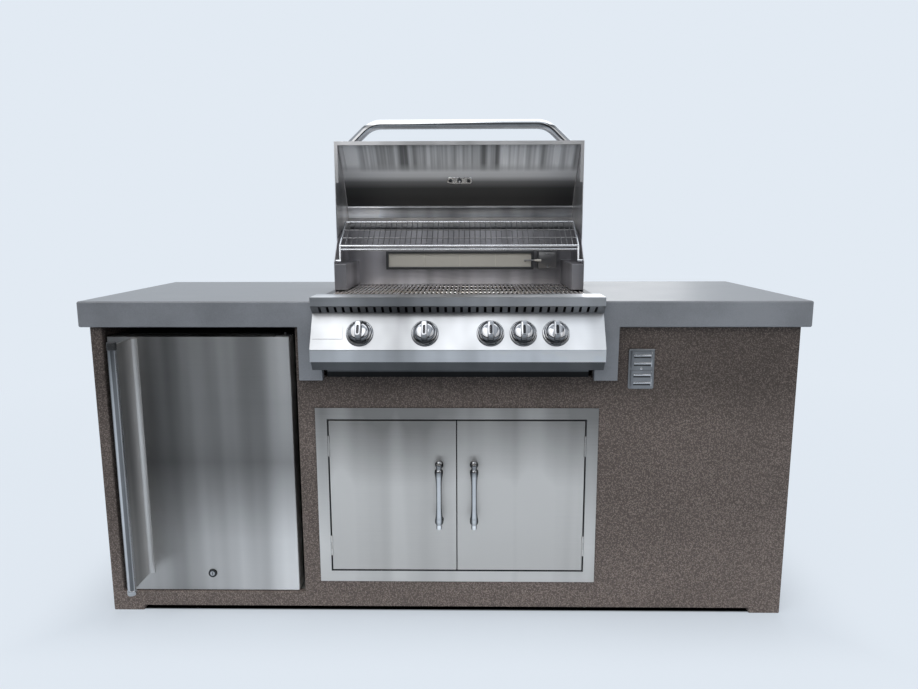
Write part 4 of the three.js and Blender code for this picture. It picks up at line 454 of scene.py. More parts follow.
MAT = {
    "stucco": sand_coat("sand_stucco", (0.195, 0.160, 0.143)),
    "counter": concrete("sealed_concrete", (0.175, 0.183, 0.198)),
    # Painted shade: the edges just behind the face are near black, as shade in the gaps. Painted reflection:
    # upright bands and a fade make the face darker towards the top.
    "door": steel("door_steel", (0.47, 0.45, 0.425), 0.33, "X", 0.44, reflection_fade_up=(0.38, 0.60, 0.16), cloud=0.5,
                  fine_share=0.08, zones=[
        ("Y", FACE_Y, FACE_Y + GAP_SHADE_DEEP, [
            (0.0, 1.0), (0.05, 1.0), (0.08, 0.05), (0.42, 0.05), (0.5, 0.85), (1.0, 0.85)]),
        ("Z", 0.133, 0.576, [(0.0, 1.02), (0.6, 0.96), (1.0, 0.78)])]),
    # Painted shade: the edges just behind the face are near black, as shade in the gaps. Painted reflection:
    # upright bands and a fade up the frame.
    "trim": steel("trim_steel", (0.51, 0.49, 0.465), 0.33, "X", 0.55, reflection_fade_up=(0.20, 0.60, 0.15), cloud=0.4,
                  fine_share=0.08, zones=[
        ("Y", FACE_Y, FACE_Y + GAP_SHADE_DEEP, [
            (0.0, 1.0), (0.05, 1.0), (0.08, 0.03), (0.6, 0.03), (0.7, 0.7), (1.0, 0.7)])]),
    "plate": steel("plate_steel", (0.27, 0.275, 0.285), 0.33, "Z", 0.30, cloud=0.8),
    # Painted reflection: upright bands, fades and zones make the door light at the foot and top, dark in the
    # middle and lighter towards its right.
    "fridge": steel("fridge_steel", (0.40, 0.388, 0.375), 0.33, "X", 0.72, reflection_fade_up=(0.12, 0.70, 0.07),
                    across=(-0.44, -0.88, 0.04), cloud=0.40, fine_share=0.03, zones=[
        ("Z", 0.062, 0.812, [(0.0, 1.15), (0.2, 1.04), (0.36, 0.70), (0.52, 0.42), (0.75, 0.72), (1.0, 1.4)]),
        ("X", -0.933, -0.424, [
            (0.0, 0.88), (0.3, 0.76), (0.5, 0.86), (0.68, 1.25), (0.84, 1.15), (1.0, 1.35)])]),
    "fin": steel("fin_steel", (0.52, 0.505, 0.49), 0.36, "Z", 0.35, fine_share=0.08),
    # Painted shade on the vent slope, a painted reflection of the lip just below it, a lighter chin, and a
    # painted dip left of the middle rising brighter to the right.
    "panel": steel("panel_steel", (0.47, 0.475, 0.485), 0.33, "X", 0.20, fine_share=0.06, zones=[
        ("Z", 0.759, 0.928, [
            (0.0, 1.5), (0.17, 1.65), (0.20, 1.0), (0.56, 1.0), (0.66, 0.86), (0.725, 0.5), (0.735, 0.42),
            (0.855, 0.42), (0.87, 1.15), (1.0, 1.15)]),
        ("X", -0.35, 0.43, [
            (0.0, 0.98), (0.14, 0.98), (0.24, 0.82), (0.30, 0.70), (0.36, 1.0), (0.7, 1.2), (0.86, 1.35),
            (1.0, 1.5)])]),
    "hood": steel("hood_steel", (0.57, 0.57, 0.58), 0.33, "X", 0.22),
    "liner": liner_sheet("liner_sheet"),
    # Painted highlight on the strip's left end; the rest is darker.
    "strip": steel("strip_steel", (0.64, 0.655, 0.69), 0.33, "X", 0.45, metal=0.6, zones=[
        ("X", -0.33, 0.41, [(0.0, 1.5), (0.12, 1.5), (0.24, 0.52), (1.0, 0.6)])]),
    # Painted shade: darker towards both sides.
    "inner": steel("housing_steel", (0.60, 0.59, 0.63), 0.33, "X", 0.40, metal=0.8, fine_share=0.06, zones=[
        ("X", -0.337, 0.419, [
            (0.0, 0.46), (0.075, 0.5), (0.12, 0.8), (0.5, 1.0), (0.88, 0.8), (0.925, 0.5), (1.0, 0.46)])]),
    "firebox": steel("firebox_steel", (0.05, 0.05, 0.052), 0.36, "X", 0.40),
    # Painted reflection: dark low on the knobs, bright over their upper part; the lock bezel below takes the
    # dark end.
    "knob": chrome("knob_chrome", (0.22, 0.222, 0.23), 0.05, [
        ("Z", 0.800, 0.880, [(0.0, 0.25), (0.22, 0.35), (0.38, 1.5), (0.6, 2.0), (1.0, 2.2)])]),
    # Painted reflection: dark low on the bezels, bright above.
    "bezel": chrome("bezel_chrome", (0.66, 0.665, 0.68), 0.05, [
        ("Z", 0.795, 0.870, [(0.0, 0.15), (0.3, 0.3), (0.5, 0.9), (1.0, 1.2)])]),
    "inlay": chrome("knob_inlay", (0.045, 0.045, 0.048), 0.12),
    # Painted reflection: dark edges and a bright middle on each bar, lighter at the foot and darker at the
    # top.
    "pull": chrome("pull_chrome", (0.44, 0.445, 0.455), 0.08, [
        ("X", -0.026, 0.100, [
            (0.0, 0.2), (0.05, 0.2), (0.085, 1.5), (0.135, 1.5), (0.17, 0.2), (0.5, 0.2), (0.83, 0.2),
            (0.865, 1.5), (0.91, 1.5), (0.945, 0.2), (1.0, 0.2)]),
        ("Z", 0.270, 0.465, [(0.0, 1.6), (0.06, 1.6), (0.10, 1.0), (0.80, 1.0), (0.87, 0.45), (1.0, 0.4)])]),
    # Painted reflection: bright and dark upright bands across the handle tube.
    "grip": chrome("grip_chrome", (0.40, 0.405, 0.415), 0.09, [
        ("X", -0.8734, -0.8506, [
            (0.0, 0.3), (0.18, 0.35), (0.26, 1.6), (0.48, 1.5), (0.56, 0.45), (0.85, 0.4), (0.95, 1.3),
            (1.0, 1.4)])]),
    # Painted reflection: a dark band low on the hood handle and a bright top.
    "tube": chrome("handle_tube", (0.62, 0.625, 0.64), 0.08, [
        ("Z", 1.4006, 1.4286, [
            (0.0, 0.62), (0.16, 0.34), (0.34, 0.30), (0.46, 0.9), (0.7, 1.1), (1.0, 0.95)])]),
    "chrome": chrome("bright_chrome", (0.50, 0.505, 0.515)),
    "wire": steel("rack_wire", (0.26, 0.26, 0.265), 0.33, "Y", 0.20),
    # A lighter steel: on the outlet lids its ribs and edge strips are painted highlight.
    "rib": steel("lid_rib", (0.70, 0.71, 0.73), 0.24, "X", 0.10),
    "satin": steel("satin_rod", (0.66, 0.67, 0.68), 0.20, "X", 0.08, brushed=0.2),
    "dark": moulded("dark_coat", (0.03, 0.031, 0.033), 0.45),
    # Painted shade on the lower front of the tray, under the panel's chin.
    "grease": steel("tray_steel", (0.105, 0.108, 0.112), 0.38, "X", 0.2, zones=[
        ("Z", 0.714, 0.759, [(0.0, 0.12), (0.30, 0.16), (0.36, 1.0), (1.0, 1.0)])]),
    "black": moulded("black_plastic", (0.02, 0.02, 0.021), 0.5),
    "white": moulded("white_liner", (0.78, 0.79, 0.80), 0.35, 300.0),
    "gasket": moulded("grey_gasket", (0.20, 0.20, 0.205), 0.7),
    "board": concrete("cement_board", (0.36, 0.35, 0.33)),
    "zinc": steel("zinc_tube", (0.40, 0.41, 0.42), 0.42, "X", 0.2),
    "heated": heated("heated_steel", (0.17, 0.17, 0.17), 0.42),
    "grate": heated("grate_rod", (0.86, 0.86, 0.855), 0.20),
    "brass": steel("valve_brass", (0.46, 0.33, 0.13), 0.3, "X", 0.1),
    "tile": perforated("burner_tile", (0.52, 0.50, 0.45)),
    "joint": moulded("tile_joint", (0.62, 0.60, 0.54), 0.9, 300.0),
    "glass": pane("shelf_glass", (0.86, 0.93, 0.93)),
    "dial": moulded("dial_face", (0.80, 0.80, 0.78), 0.4, 200.0),
    "ceramic": moulded("igniter_ceramic", (0.72, 0.70, 0.64), 0.4),
}


def numbered(name, count):
    return [f"{name}_{i + 1}" for i in range(count)]


NODE_LOOK = {
    "stucco": ["front_wall", "back_wall", "left_wall", "right_wall"],
    "counter": ["countertop"],
    "board": ["cabinet_floor", "bay_divider"],
    "zinc": ["floor_frame"],
    "dark": ["fridge_casing", "fridge_base", "fridge_top_hinge", "fridge_bottom_hinge"],
    "white": ["fridge_liner"],
    "gasket": ["fridge_door_liner"],
    "glass": ["fridge_lower_shelf", "fridge_upper_shelf"],
    "fridge": ["fridge_door"],
    "fin": ["fridge_handle_fin"],
    "trim": ["door_surround"],
    "plate": ["outlet_plate", "lower_outlet_lid", "upper_outlet_lid"],
    "door": ["left_access_door", "right_access_door"],
    "panel": ["control_panel"],
    "inner": ["rear_housing"],
    "firebox": ["firebox"],
    "hood": ["hood_shell"],
    "heated": numbered("heat_tent", 4) + numbered("burner_tube", 4),
    "grease": ["grease_tray", "rear_burner_housing"],
    "black": ["door_catch", "outlet_receptacle"],
    "wire": ["rear_igniter"],
    "brass": ["gas_manifold"],
    "tile": ["rear_burner_tiles"],
    "grate": numbered("cooking_grate", 4),
    "knob": ["fridge_lock_bezel"],
    "chrome": ["fridge_handle_tube", "fridge_lock_cylinder", "left_door_pull", "right_door_pull",
               "hood_thermometer", "hood_handle"] + numbered("burner_knob", 5),
    "satin": ["warming_rack"],
}
# Widths of the small rounds on the solids' edges, in metres
BEVELS = {
    "fridge_door": 0.0016, "left_access_door": 0.0012, "right_access_door": 0.0012, "door_surround": 0.0008,
    "countertop": 0.004, "front_wall": 0.003, "left_wall": 0.003, "right_wall": 0.003, "back_wall": 0.003,
    "grease_tray": 0.0008, "rear_housing": 0.0006, "firebox": 0.0006,
    "rear_burner_housing": 0.001, "outlet_plate": 0.0008, "fridge_handle_fin": 0.0007,
}
CURVED = {"hood_shell", "fridge_door", "gas_manifold", "fridge_lock_bezel", "fridge_lock_cylinder",
          "fridge_top_hinge", "fridge_bottom_hinge", "outlet_receptacle", "rear_igniter",
          *numbered("burner_tube", 4)}


def smooth_node(mesh, angle=33.0):
    """Smooth shading with sharp edges where two faces meet at more than an angle, split or not."""
    corners = [tuple(round(c * 1e6) for c in v.co) for v in mesh.vertices]

    def key(a, b):
        return min(corners[a], corners[b]), max(corners[a], corners[b])

    meeting = {}
    for polygon in mesh.polygons:
        for a, b in polygon.edge_keys:
            meeting.setdefault(key(a, b), []).append(polygon.normal.copy())
    limit = math.cos(math.radians(angle))
    sharp = []
    for edge in mesh.edges:
        normals = meeting.get(key(*edge.vertices), [])
        sharp.append(len(normals) != 2 or normals[0].dot(normals[1]) < limit)
    mesh.polygons.foreach_set("use_smooth", [True] * len(mesh.polygons))
    mesh.edges.foreach_set("use_edge_sharp", sharp)


def dress_nodes():
    for look, names in NODE_LOOK.items():
        for name in names:
            obj = NODES[name]
            obj.data.materials.clear()
            obj.data.materials.append(MAT[look])
            if name in CURVED:
                smooth_node(obj.data)
            weld = obj.modifiers.new("weld", "WELD")
            weld.merge_threshold = 0.00002
            if name in BEVELS:
                bevel = obj.modifiers.new("edge", "BEVEL")
                bevel.width = BEVELS[name]
                bevel.segments = 2
                bevel.limit_method = "ANGLE"
                bevel.angle_limit = math.radians(40)
                bevel.harden_normals = False
                bevel.use_clamp_overlap = True
            if name in BEVELS and name in CURVED:
                even = obj.modifiers.new("even", "WEIGHTED_NORMAL")
                even.keep_sharp = True


# Mesh helpers. Radii, rounds and rows are in millimetres, and the points of a path are already placed.
def finish_piece(name, bm, look, body, slot, smooth=40.0, replaces=()):
    bmesh.ops.remove_doubles(bm, verts=bm.verts, dist=1e-6)
    bmesh.ops.recalc_face_normals(bm, faces=bm.faces)
    mesh = bpy.data.meshes.new(name)
    bm.to_mesh(mesh)
    bm.free()
    for polygon in mesh.polygons:
        polygon.use_smooth = True
    mesh.set_sharp_from_angle(angle=math.radians(smooth))
    mesh.materials.append(MAT[look])
    obj = bpy.data.objects.new(name, mesh)
    bpy.context.scene.collection.objects.link(obj)
    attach(obj, body)
    if replaces:
        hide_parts(*replaces)


def frame_at(origin, axis, up=(0, 0, 1)):
    """A frame at a spot with its Z along an axis."""
    z = Vector(axis).normalized()
    up = Vector(up)
    if abs(z.dot(up)) > 0.98:
        up = Vector((0, 1, 0))
    x = up.cross(z).normalized()
    y = z.cross(x)
    turn = Matrix((x, y, z)).transposed().to_4x4()
    turn.translation = Vector(origin)
    return turn


def turns(count):
    return [2 * math.pi * k / count for k in range(count)]


def bridge(bm, rings):
    """A closed skin over a row of rings with the same number of points."""
    for low, high in zip(rings, rings[1:]):
        for k in range(len(low)):
            m = (k + 1) % len(low)
            bm.faces.new((low[k], low[m], high[m], high[k]))
    bm.faces.new(rings[0])
    bm.faces.new(list(reversed(rings[-1])))


def add_lathe(bm, rows, matrix, sides):
    """A turned form from rows of (radius, place along local Z)."""
    rings = []
    for radius, along in rows:
        r, h = radius / 1000, along / 1000
        spots = [(r * math.cos(a), r * math.sin(a)) for a in turns(sides)] if radius else [(0, 0)]
        rings.append([bm.verts.new(matrix @ Vector((x, y, h))) for x, y in spots])
    for low, high in zip(rings, rings[1:]):
        for i in range(sides):
            j = (i + 1) % sides
            corners = []
            for v in (low[i % len(low)], low[j % len(low)], high[j % len(high)], high[i % len(high)]):
                if v not in corners:
                    corners.append(v)
            if len(corners) >= 3:
                bm.faces.new(corners)


def add_tube(bm, points, radius, sides):
    """A round tube along points, with its ends capped. It takes one radius, or one for each point."""
    radii = radius if isinstance(radius, list) else [radius] * len(points)
    normal = (points[1] - points[0]).normalized().orthogonal().normalized()
    rings = []
    for i, (here, size) in enumerate(zip(points, radii)):
        along = (points[min(i + 1, len(points) - 1)] - points[max(i - 1, 0)]).normalized()
        normal = (normal - along * normal.dot(along)).normalized()
        across = along.cross(normal)
        rings.append([bm.verts.new(here + size / 1000 * (math.cos(a) * normal + math.sin(a) * across))
                      for a in turns(sides)])
    bridge(bm, rings)


def add_block(bm, low, high, bevel, segments=2):
    """A block with rounded edges between two corners."""
    low, high = place(*low), place(*high)
    made = bmesh.ops.create_cube(bm, size=1.0)["verts"]
    size = high - low
    for v in made:
        v.co = Vector((v.co.x * size.x, v.co.y * size.y, v.co.z * size.z)) + (low + high) / 2
    edges = list({e for v in made for e in v.link_edges})
    bmesh.ops.bevel(bm, geom=edges, offset=bevel / 1000, segments=segments, affect="EDGES", profile=0.5)


def arc_corner(points, radius, steps=8):
    """The same path with each inner corner rounded."""
    out = [points[0]]
    for before, here, after in zip(points, points[1:], points[2:]):
        back, ahead = (before - here).normalized(), (after - here).normalized()
        reach = radius / 1000 / math.tan(back.angle(ahead) / 2)
        a, c = here + back * reach, here + ahead * reach
        for i in range(steps + 1):
            t = i / steps
            out.append((1 - t) ** 2 * a + 2 * t * (1 - t) * here + t * t * c)
    out.append(points[-1])
    return out


def rounded_ring(bm, matrix, half_long, half_wide, height, power, count):
    """A ring between an oval and a rectangle: the higher the power, the squarer it is."""
    ring = []
    for a in turns(count):
        c, d = math.cos(a), math.sin(a)
        x = math.copysign(abs(c) ** (2 / power), c) * half_wide
        y = math.copysign(abs(d) ** (2 / power), d) * half_long
        ring.append(bm.verts.new(matrix @ mm(x, y, height)))
    return ring


def turned_piece(name, rows, matrix, sides, *rest):
    bm = bmesh.new()
    add_lathe(bm, rows, matrix, sides)
    finish_piece(name, bm, *rest)


def block_piece(name, blocks, bevel, segments, *rest):
    bm = bmesh.new()
    for low, high in blocks:
        add_block(bm, low, high, bevel, segments)
    finish_piece(name, bm, *rest)


# Grill pieces
RACK_PIVOT = (GRILL_X, 238, 1010)
RACK_TILT = 32
RACK_HALF = 356
RACK_WIRES = 43


def make_rack():
    """Warming rack: three rails, side wires and close fore-and-aft wires over laterals."""
    turn = Matrix.Translation(place(*RACK_PIVOT)) @ Matrix.Rotation(math.radians(RACK_TILT), 4, "X")
    half = RACK_HALF

    def at(x, y, z):
        return turn @ mm(x, y, z)

    bm = bmesh.new()
    for i in range(RACK_WIRES):
        x = -half + (i + 1) * 2 * half / (RACK_WIRES + 1)
        add_tube(bm, [at(x, 29, 34.6), at(x, 163, 34.6)], 1.5, 8)
    for y in (75, 119):
        add_tube(bm, [at(-half, y, 31.6), at(half, y, 31.6)], 1.7, 10)
    finish_piece("rack_wires", bm, "wire", "rack", "polished", 35, ("warming_rack",))
    bm = bmesh.new()
    for y, z in ((30, 33), (27, 22.5), (163, 33)):
        add_tube(bm, [at(-half, y, z), at(half, y, z)], 3.2, 14)
    for side in (-1, 1):
        path = [at(side * half, 163, 33), at(side * half, 30, 33), at(side * half, 0, 0)]
        add_tube(bm, arc_corner(path, 7), 3, 14)
        add_tube(bm, [at(side * (half - 3), 0, 0), at(side * (half + 15), 0, 0)], 3.5, 14)
    finish_piece("rack_rails", bm, "rib", "rack", "polished", 35)


GRATE_HALF = 364
GRATE_SLACK = 1.5
GRATE_FRONT, GRATE_BACK = 65.5, 486.2
GRATE_BARS = 14


def make_grates():
    """Cooking grates: close round rods with rounded tips over five cross rods, three of them thick."""
    wide = (2 * GRATE_HALF - GRATE_SLACK) / 4 - GRATE_SLACK
    front, back = GRATE_FRONT, GRATE_BACK
    tips = (front, front + 0.8, front + 2.4, back - 2.4, back - 0.8, back)
    for g in range(4):
        bm = bmesh.new()
        left = GRILL_X - GRATE_HALF + GRATE_SLACK + g * (wide + GRATE_SLACK)
        for i in range(GRATE_BARS):
            x = left + 4 + i * (wide - 8) / (GRATE_BARS - 1)
            add_tube(bm, [place(x, y, 917.3) for y in tips], [1.2, 2.8, 3.7, 3.7, 2.8, 1.2], 12)
        for share, thick in ((0.012, 4.5), (0.26, 3), (0.5, 4.5), (0.74, 3), (0.988, 4.5)):
            y = front + share * (back - front)
            add_tube(bm, [place(left, y, 909.9), place(left + wide, y, 909.9)], thick, 12)
        finish_piece(f"grate_rods_{g + 1}", bm, "grate", "island", "cast", 35, (f"cooking_grate_{g + 1}",))


# The panel's sloped face: its top edge, and how far it drops and comes forward from there
FACE_TOP_Y, FACE_TOP_Z = -8, 882
FACE_DROP, FACE_FORWARD = 90, 52
FACE_NORMAL = Vector((0, -FACE_DROP, FACE_FORWARD)).normalized()
PANEL_WIDE = 732
KNOB_DROP = 50
KNOB_PLACES = [share * PANEL_WIDE for share in (-0.355, -0.118, 0.119, 0.238, 0.356)]
KNOB_Y = FACE_TOP_Y - FACE_FORWARD * KNOB_DROP / FACE_DROP
KNOB_Z = FACE_TOP_Z - KNOB_DROP


def make_knobs():
    """Burner knobs: a stepped skirt and a tall crowned grip, in a chrome bezel on the panel."""
    skirt = [
        (0, -16), (4.5, -16), (4.5, 7.0), (28.6, 7.0), (30.3, 7.6), (31.0, 9.0), (30.8, 11.0), (29.4, 12.0),
        (28.2, 12.5), (27.9, 13.6), (26.6, 16.6), (24.2, 19.4), (21.0, 21.2), (18.0, 21.9), (0, 22.0)]
    bezel = [
        (31.9, -0.3), (31.9, 4.0), (32.2, 5.0), (33.0, 5.6), (34.1, 5.4), (35.2, 4.6), (36.1, 3.2),
        (36.7, 1.6), (36.9, 0.4), (36.9, -0.3), (31.9, -0.3)]
    # Rows of (height, half length, half width)
    grip = [
        (12, 26.6, 9.4), (17, 26.9, 9.2), (21, 26.4, 8.8), (26, 25.4, 8.6), (31, 23.8, 8.4), (35, 22.4, 8.2),
        (38.4, 21.2, 7.9), (39.8, 20.3, 7.3), (40.4, 19.2, 6.4), (40.5, 18.0, 5.4)]
    inlay = [(40.2, 12.6, 3.9), (40.7, 12.4, 3.7), (40.75, 11.6, 3.2)]
    for i, x in enumerate(KNOB_PLACES):
        body = f"knob_{i + 1}"
        matrix = frame_at(place(GRILL_X + x, KNOB_Y, KNOB_Z), FACE_NORMAL)
        bm = bmesh.new()
        add_lathe(bm, skirt, matrix, 64)
        bridge(bm, [rounded_ring(bm, matrix, long, wide, height, 6.0, 56) for height, long, wide in grip])
        finish_piece(f"knob_form_{i + 1}", bm, "knob", body, "polished", 32, (f"burner_knob_{i + 1}",))
        turned_piece(f"knob_bezel_{i + 1}", bezel, matrix, 64, "bezel", "island", "polished")
        bm = bmesh.new()
        low = matrix @ Matrix.Translation((0, -0.0035, 0))
        bridge(bm, [rounded_ring(bm, low, long, wide, height, 4.0, 40) for height, long, wide in inlay])
        finish_piece(f"knob_inlay_{i + 1}", bm, "inlay", body, "polished")


def make_hood_handle():
    """Bent tube over the hood's lip, cut flat where it meets the lip."""
    lip, top, depth, bend = 1363.3, 1414.6, 330, 265
    below = 20
    foot = 320 + 55 / 51.3 * below
    path = arc_corner([
        place(GRILL_X - foot, depth, lip - below), place(GRILL_X - bend, depth, top),
        place(GRILL_X + bend, depth, top), place(GRILL_X + foot, depth, lip - below)], 80, 14)
    bm = bmesh.new()
    add_tube(bm, path, 14, 32)
    cut = bmesh.ops.bisect_plane(
        bm, geom=bm.verts[:] + bm.edges[:] + bm.faces[:], plane_co=place(0, 0, lip + 0.05),
        plane_no=(0, 0, 1), clear_inner=True)
    edges = [e for e in cut["geom_cut"] if isinstance(e, bmesh.types.BMEdge)]
    bmesh.ops.holes_fill(bm, edges=edges, sides=0)
    finish_piece("hood_handle_tube", bm, "tube", "hood", "polished", 40, ("hood_handle",))


# Hood section while closed, as (depth, height) from the pivot
PIVOT_Y, PIVOT_Z = 418, 1040
HOOD_CURVE = [(-323 + 442 * a, -119 + 242 * b)
              for a, b in ((0, 0.153), (0.03, 0.285), (0.305, 0.76), (0.532, 0.893))]
LINER_HALF = 370.5
LINER_START, LINER_REACH, LINER_STEPS = 0.035, 0.80, 44
THERMOMETER_SHARE = 0.57


def hood_point(t):
    """Point and direction of travel at a share of the way along the hood's outer curve."""
    weights = ((1 - t) ** 3, 3 * t * (1 - t) ** 2, 3 * t * t * (1 - t), t ** 3)
    spot = [sum(w * p[k] for w, p in zip(weights, HOOD_CURVE)) for k in (0, 1)]
    slopes = (3 * (1 - t) ** 2, 6 * t * (1 - t), 3 * t * t)
    steps = [(b[0] - a[0], b[1] - a[1]) for a, b in zip(HOOD_CURVE, HOOD_CURVE[1:])]
    along = [sum(w * p[k] for w, p in zip(slopes, steps)) for k in (0, 1)]
    size = math.hypot(*along)
    return spot, (along[0] / size, along[1] / size)


def hood_spot(x, t, inward):
    """A place at rest, inward of the hood's outer curve, with the hood open."""
    (y, z), (dy, dz) = hood_point(t)
    return place(GRILL_X + x, PIVOT_Y + z - inward * dy, PIVOT_Z - y - inward * dz)


def make_hood_liner():
    """The hood's inner lining, a thin curved sheet just inside its skin that carries the painted reflection
    and shade.
    """
    bm = bmesh.new()
    section = ((-LINER_HALF, 3.2), (LINER_HALF, 3.2), (LINER_HALF, 3.9), (-LINER_HALF, 3.9))
    shares = [LINER_START + LINER_REACH * k / LINER_STEPS for k in range(LINER_STEPS + 1)]
    bridge(bm, [[bm.verts.new(hood_spot(x, share, inward)) for x, inward in section] for share in shares])
    finish_piece("hood_liner", bm, "liner", "hood", "stainless")


def make_hood_strip():
    """A folded stiffening strip across the inside of the hood, with a hem along both edges."""
    bm = bmesh.new()
    rows = [(0.842, 2.2), (0.842, 5.4), (0.846, 6.6), (0.852, 6.6), (0.857, 5.4), (0.90, 5.0), (0.945, 5.4),
            (0.950, 6.6), (0.955, 6.6), (0.959, 5.4), (0.959, 2.2)]
    bridge(bm, [[bm.verts.new(hood_spot(x, t, inward)) for t, inward in rows]
                for x in (-LINER_HALF, 1 - LINER_HALF, LINER_HALF - 1, LINER_HALF)])
    finish_piece("hood_strip", bm, "strip", "hood", "stainless")


def make_thermometer():
    """Dial on the hood's outside, stem through the skin and a screwed plate inside."""
    (y, z), (dy, dz) = hood_point(THERMOMETER_SHARE)
    origin = place(GRILL_X, PIVOT_Y + z, PIVOT_Z - y)
    outward = Vector((0, dy, dz))
    across = Vector((1, 0, 0))
    matrix = frame_at(origin, outward, across)
    case = [
        (0, 2.0), (30, 2.0), (35.2, 2.4), (36.8, 3.4), (37.6, 5.2), (37.9, 8.0), (37.6, 11.5), (36.6, 14.2),
        (35.0, 15.7), (33.6, 15.9), (32.8, 15.2), (32.4, 12.4), (0, 12.2)]
    stem = [(0, -18.2), (2.2, -18.2), (4.0, -16.4), (4.6, -14.0), (4.6, 2.4), (0, 2.4)]
    bm = bmesh.new()
    add_lathe(bm, case, matrix, 72)
    add_lathe(bm, stem, matrix, 24)
    finish_piece("thermometer_case", bm, "chrome", "hood", "polished", 40, ("hood_thermometer",))
    turned_piece("thermometer_dial", [(0, 12.2), (32.2, 12.2), (32.2, 12.8), (0, 13.0)], matrix, 64,
                 "dial", "hood", "white_plastic")

    # Marks round the dial, every fourth one long, and the hand over its hub
    bm = bmesh.new()
    for k in range(25):
        spoke = matrix @ Matrix.Rotation(math.radians(-130 + k * 260 / 24), 4, "Z")
        inner, wide = (24.5, 1.1) if k % 4 == 0 else (27.0, 0.6)
        for v in bmesh.ops.create_cube(bm, size=1.0)["verts"]:
            v.co = spoke @ mm(v.co.x * wide, v.co.y * (30 - inner) + (30 + inner) / 2, 13.1 + v.co.z * 0.3)
    hand = matrix @ Matrix.Rotation(math.radians(-128), 4, "Z")
    tip = [(-1.4, -6), (1.4, -6), (0.4, 25), (-0.4, 25)]
    bridge(bm, [[bm.verts.new(hand @ mm(x, y, height)) for x, y in tip] for height in (13.4, 13.8)])
    add_lathe(bm, [(0, 13.0), (3.2, 13.0), (3.0, 14.2), (0, 14.5)], matrix, 24)
    finish_piece("thermometer_hand", bm, "black", "hood", "black_plastic")
    turned_piece("thermometer_glass", [(0, 14.6), (32.3, 14.3), (32.3, 14.9), (16, 15.4), (0, 15.6)],
                 matrix, 64, "glass", "hood", "shelf_glass", 60)

    # The plate inside lies lengthwise along the hood
    bm = bmesh.new()
    half_long, half_short = 29, 13
    short = outward.cross(across).normalized()
    rings = []
    for inset, depth in ((0.8, -4.2), (0, -4.8), (0, -6.0), (0.9, -6.9)):
        radius = half_short - inset
        rings.append([bm.verts.new(
            origin + across * (math.copysign(half_long, math.cos(a)) + radius * math.cos(a)) / 1000
            + short * radius * math.sin(a) / 1000 + outward * depth / 1000) for a in turns(48)])
    bridge(bm, rings)
    finish_piece("thermometer_plate", bm, "satin", "hood", "polished")
    bm = bmesh.new()
    face = origin + outward * -0.0069
    for x in (-half_long, half_long):
        head = frame_at(face + across * x / 1000, -outward, across)
        add_lathe(bm, [(6.2, -0.4), (6.2, 0.4), (5.4, 1.6), (3.0, 2.4), (0, 2.5)], head, 24)
    nut = [(8.5, -0.4), (8.5, 2.6), (7.5, 3.2), (5, 3.4), (5, 0)]
    add_lathe(bm, nut, frame_at(face, -outward, across), 6)
    finish_piece("thermometer_screws", bm, "dark", "hood", "dark_steel")


def make_bolts():
    """Domed bolts on the grill's sides: the hood's pivots and the wings' fixings."""
    dome = [(6.5, -0.6), (6.3, 1.2), (5.6, 2.6), (4.2, 4.0), (2.2, 4.9), (0, 5.2)]
    flat = [(radius * 0.9, height * 0.5) for radius, height in dome]
    for side, name in ((-1, "left"), (1, "right")):
        matrix = frame_at(place(GRILL_X + side * 378.0, PIVOT_Y, PIVOT_Z), (side, 0, 0))
        turned_piece(f"pivot_cap_{name}", dome, matrix, 28, "chrome", "island", "polished")
        bm = bmesh.new()
        for y, z in ((240, 968), (300, 1066)):
            add_lathe(bm, flat, frame_at(place(GRILL_X + side * 371.0, y, z), (side, 0, 0)), 24)
        finish_piece(f"wing_bolts_{name}", bm, "satin", "island", "polished")


def make_igniter():
    """Electrode of the rear burner: a ceramic sleeve and a bent wire tip, on a screwed bracket."""
    x, y, z = GRILL_X + 265, 453, 1000
    sleeve = [(0, 0), (3.6, 0), (3.9, 1.0), (3.9, 14), (3.2, 15), (3.2, 21), (2.6, 22), (0, 22)]
    turned_piece("igniter_sleeve", sleeve, frame_at(place(x + 2, y, z), (-1, 0, 0)), 20,
                 "ceramic", "island", "tile")
    bm = bmesh.new()
    path = arc_corner([place(x - 19, y, z), place(x - 42, y, z), place(x - 52, y + 2, z - 4)], 4, 5)
    add_tube(bm, path, 1.3, 10)
    finish_piece("igniter_tip", bm, "heated", "island", "dark_steel")
    block_piece("igniter_cover", [((GRILL_X + 261, 462.0, 974), (GRILL_X + 316, 463.7, 1026))], 0.7, 2,
                "wire", "island", "dark_steel")
    bm = bmesh.new()
    for z in (979.5, 1020.5):
        head = frame_at(place(GRILL_X + 288.5, 462.1, z), (0, -1, 0))
        add_lathe(bm, [(3.4, -0.2), (3.4, 0.8), (2.5, 1.7), (0, 1.9)], head, 20)
    finish_piece("igniter_screws", bm, "satin", "island", "polished")


def make_tile_joints():
    """Pale cement in the joints between the rear burner's tiles."""
    tiles_wide = 469.4
    middles = [GRILL_X + share * tiles_wide for share in (-0.25, 0.0, 0.25)]
    blocks = [((x - 1.3, 463.3, 978.6), (x + 1.3, 466.4, 1021.4)) for x in middles]
    block_piece("tile_joints", blocks, 0.3, 1, "joint", "island", "tile")


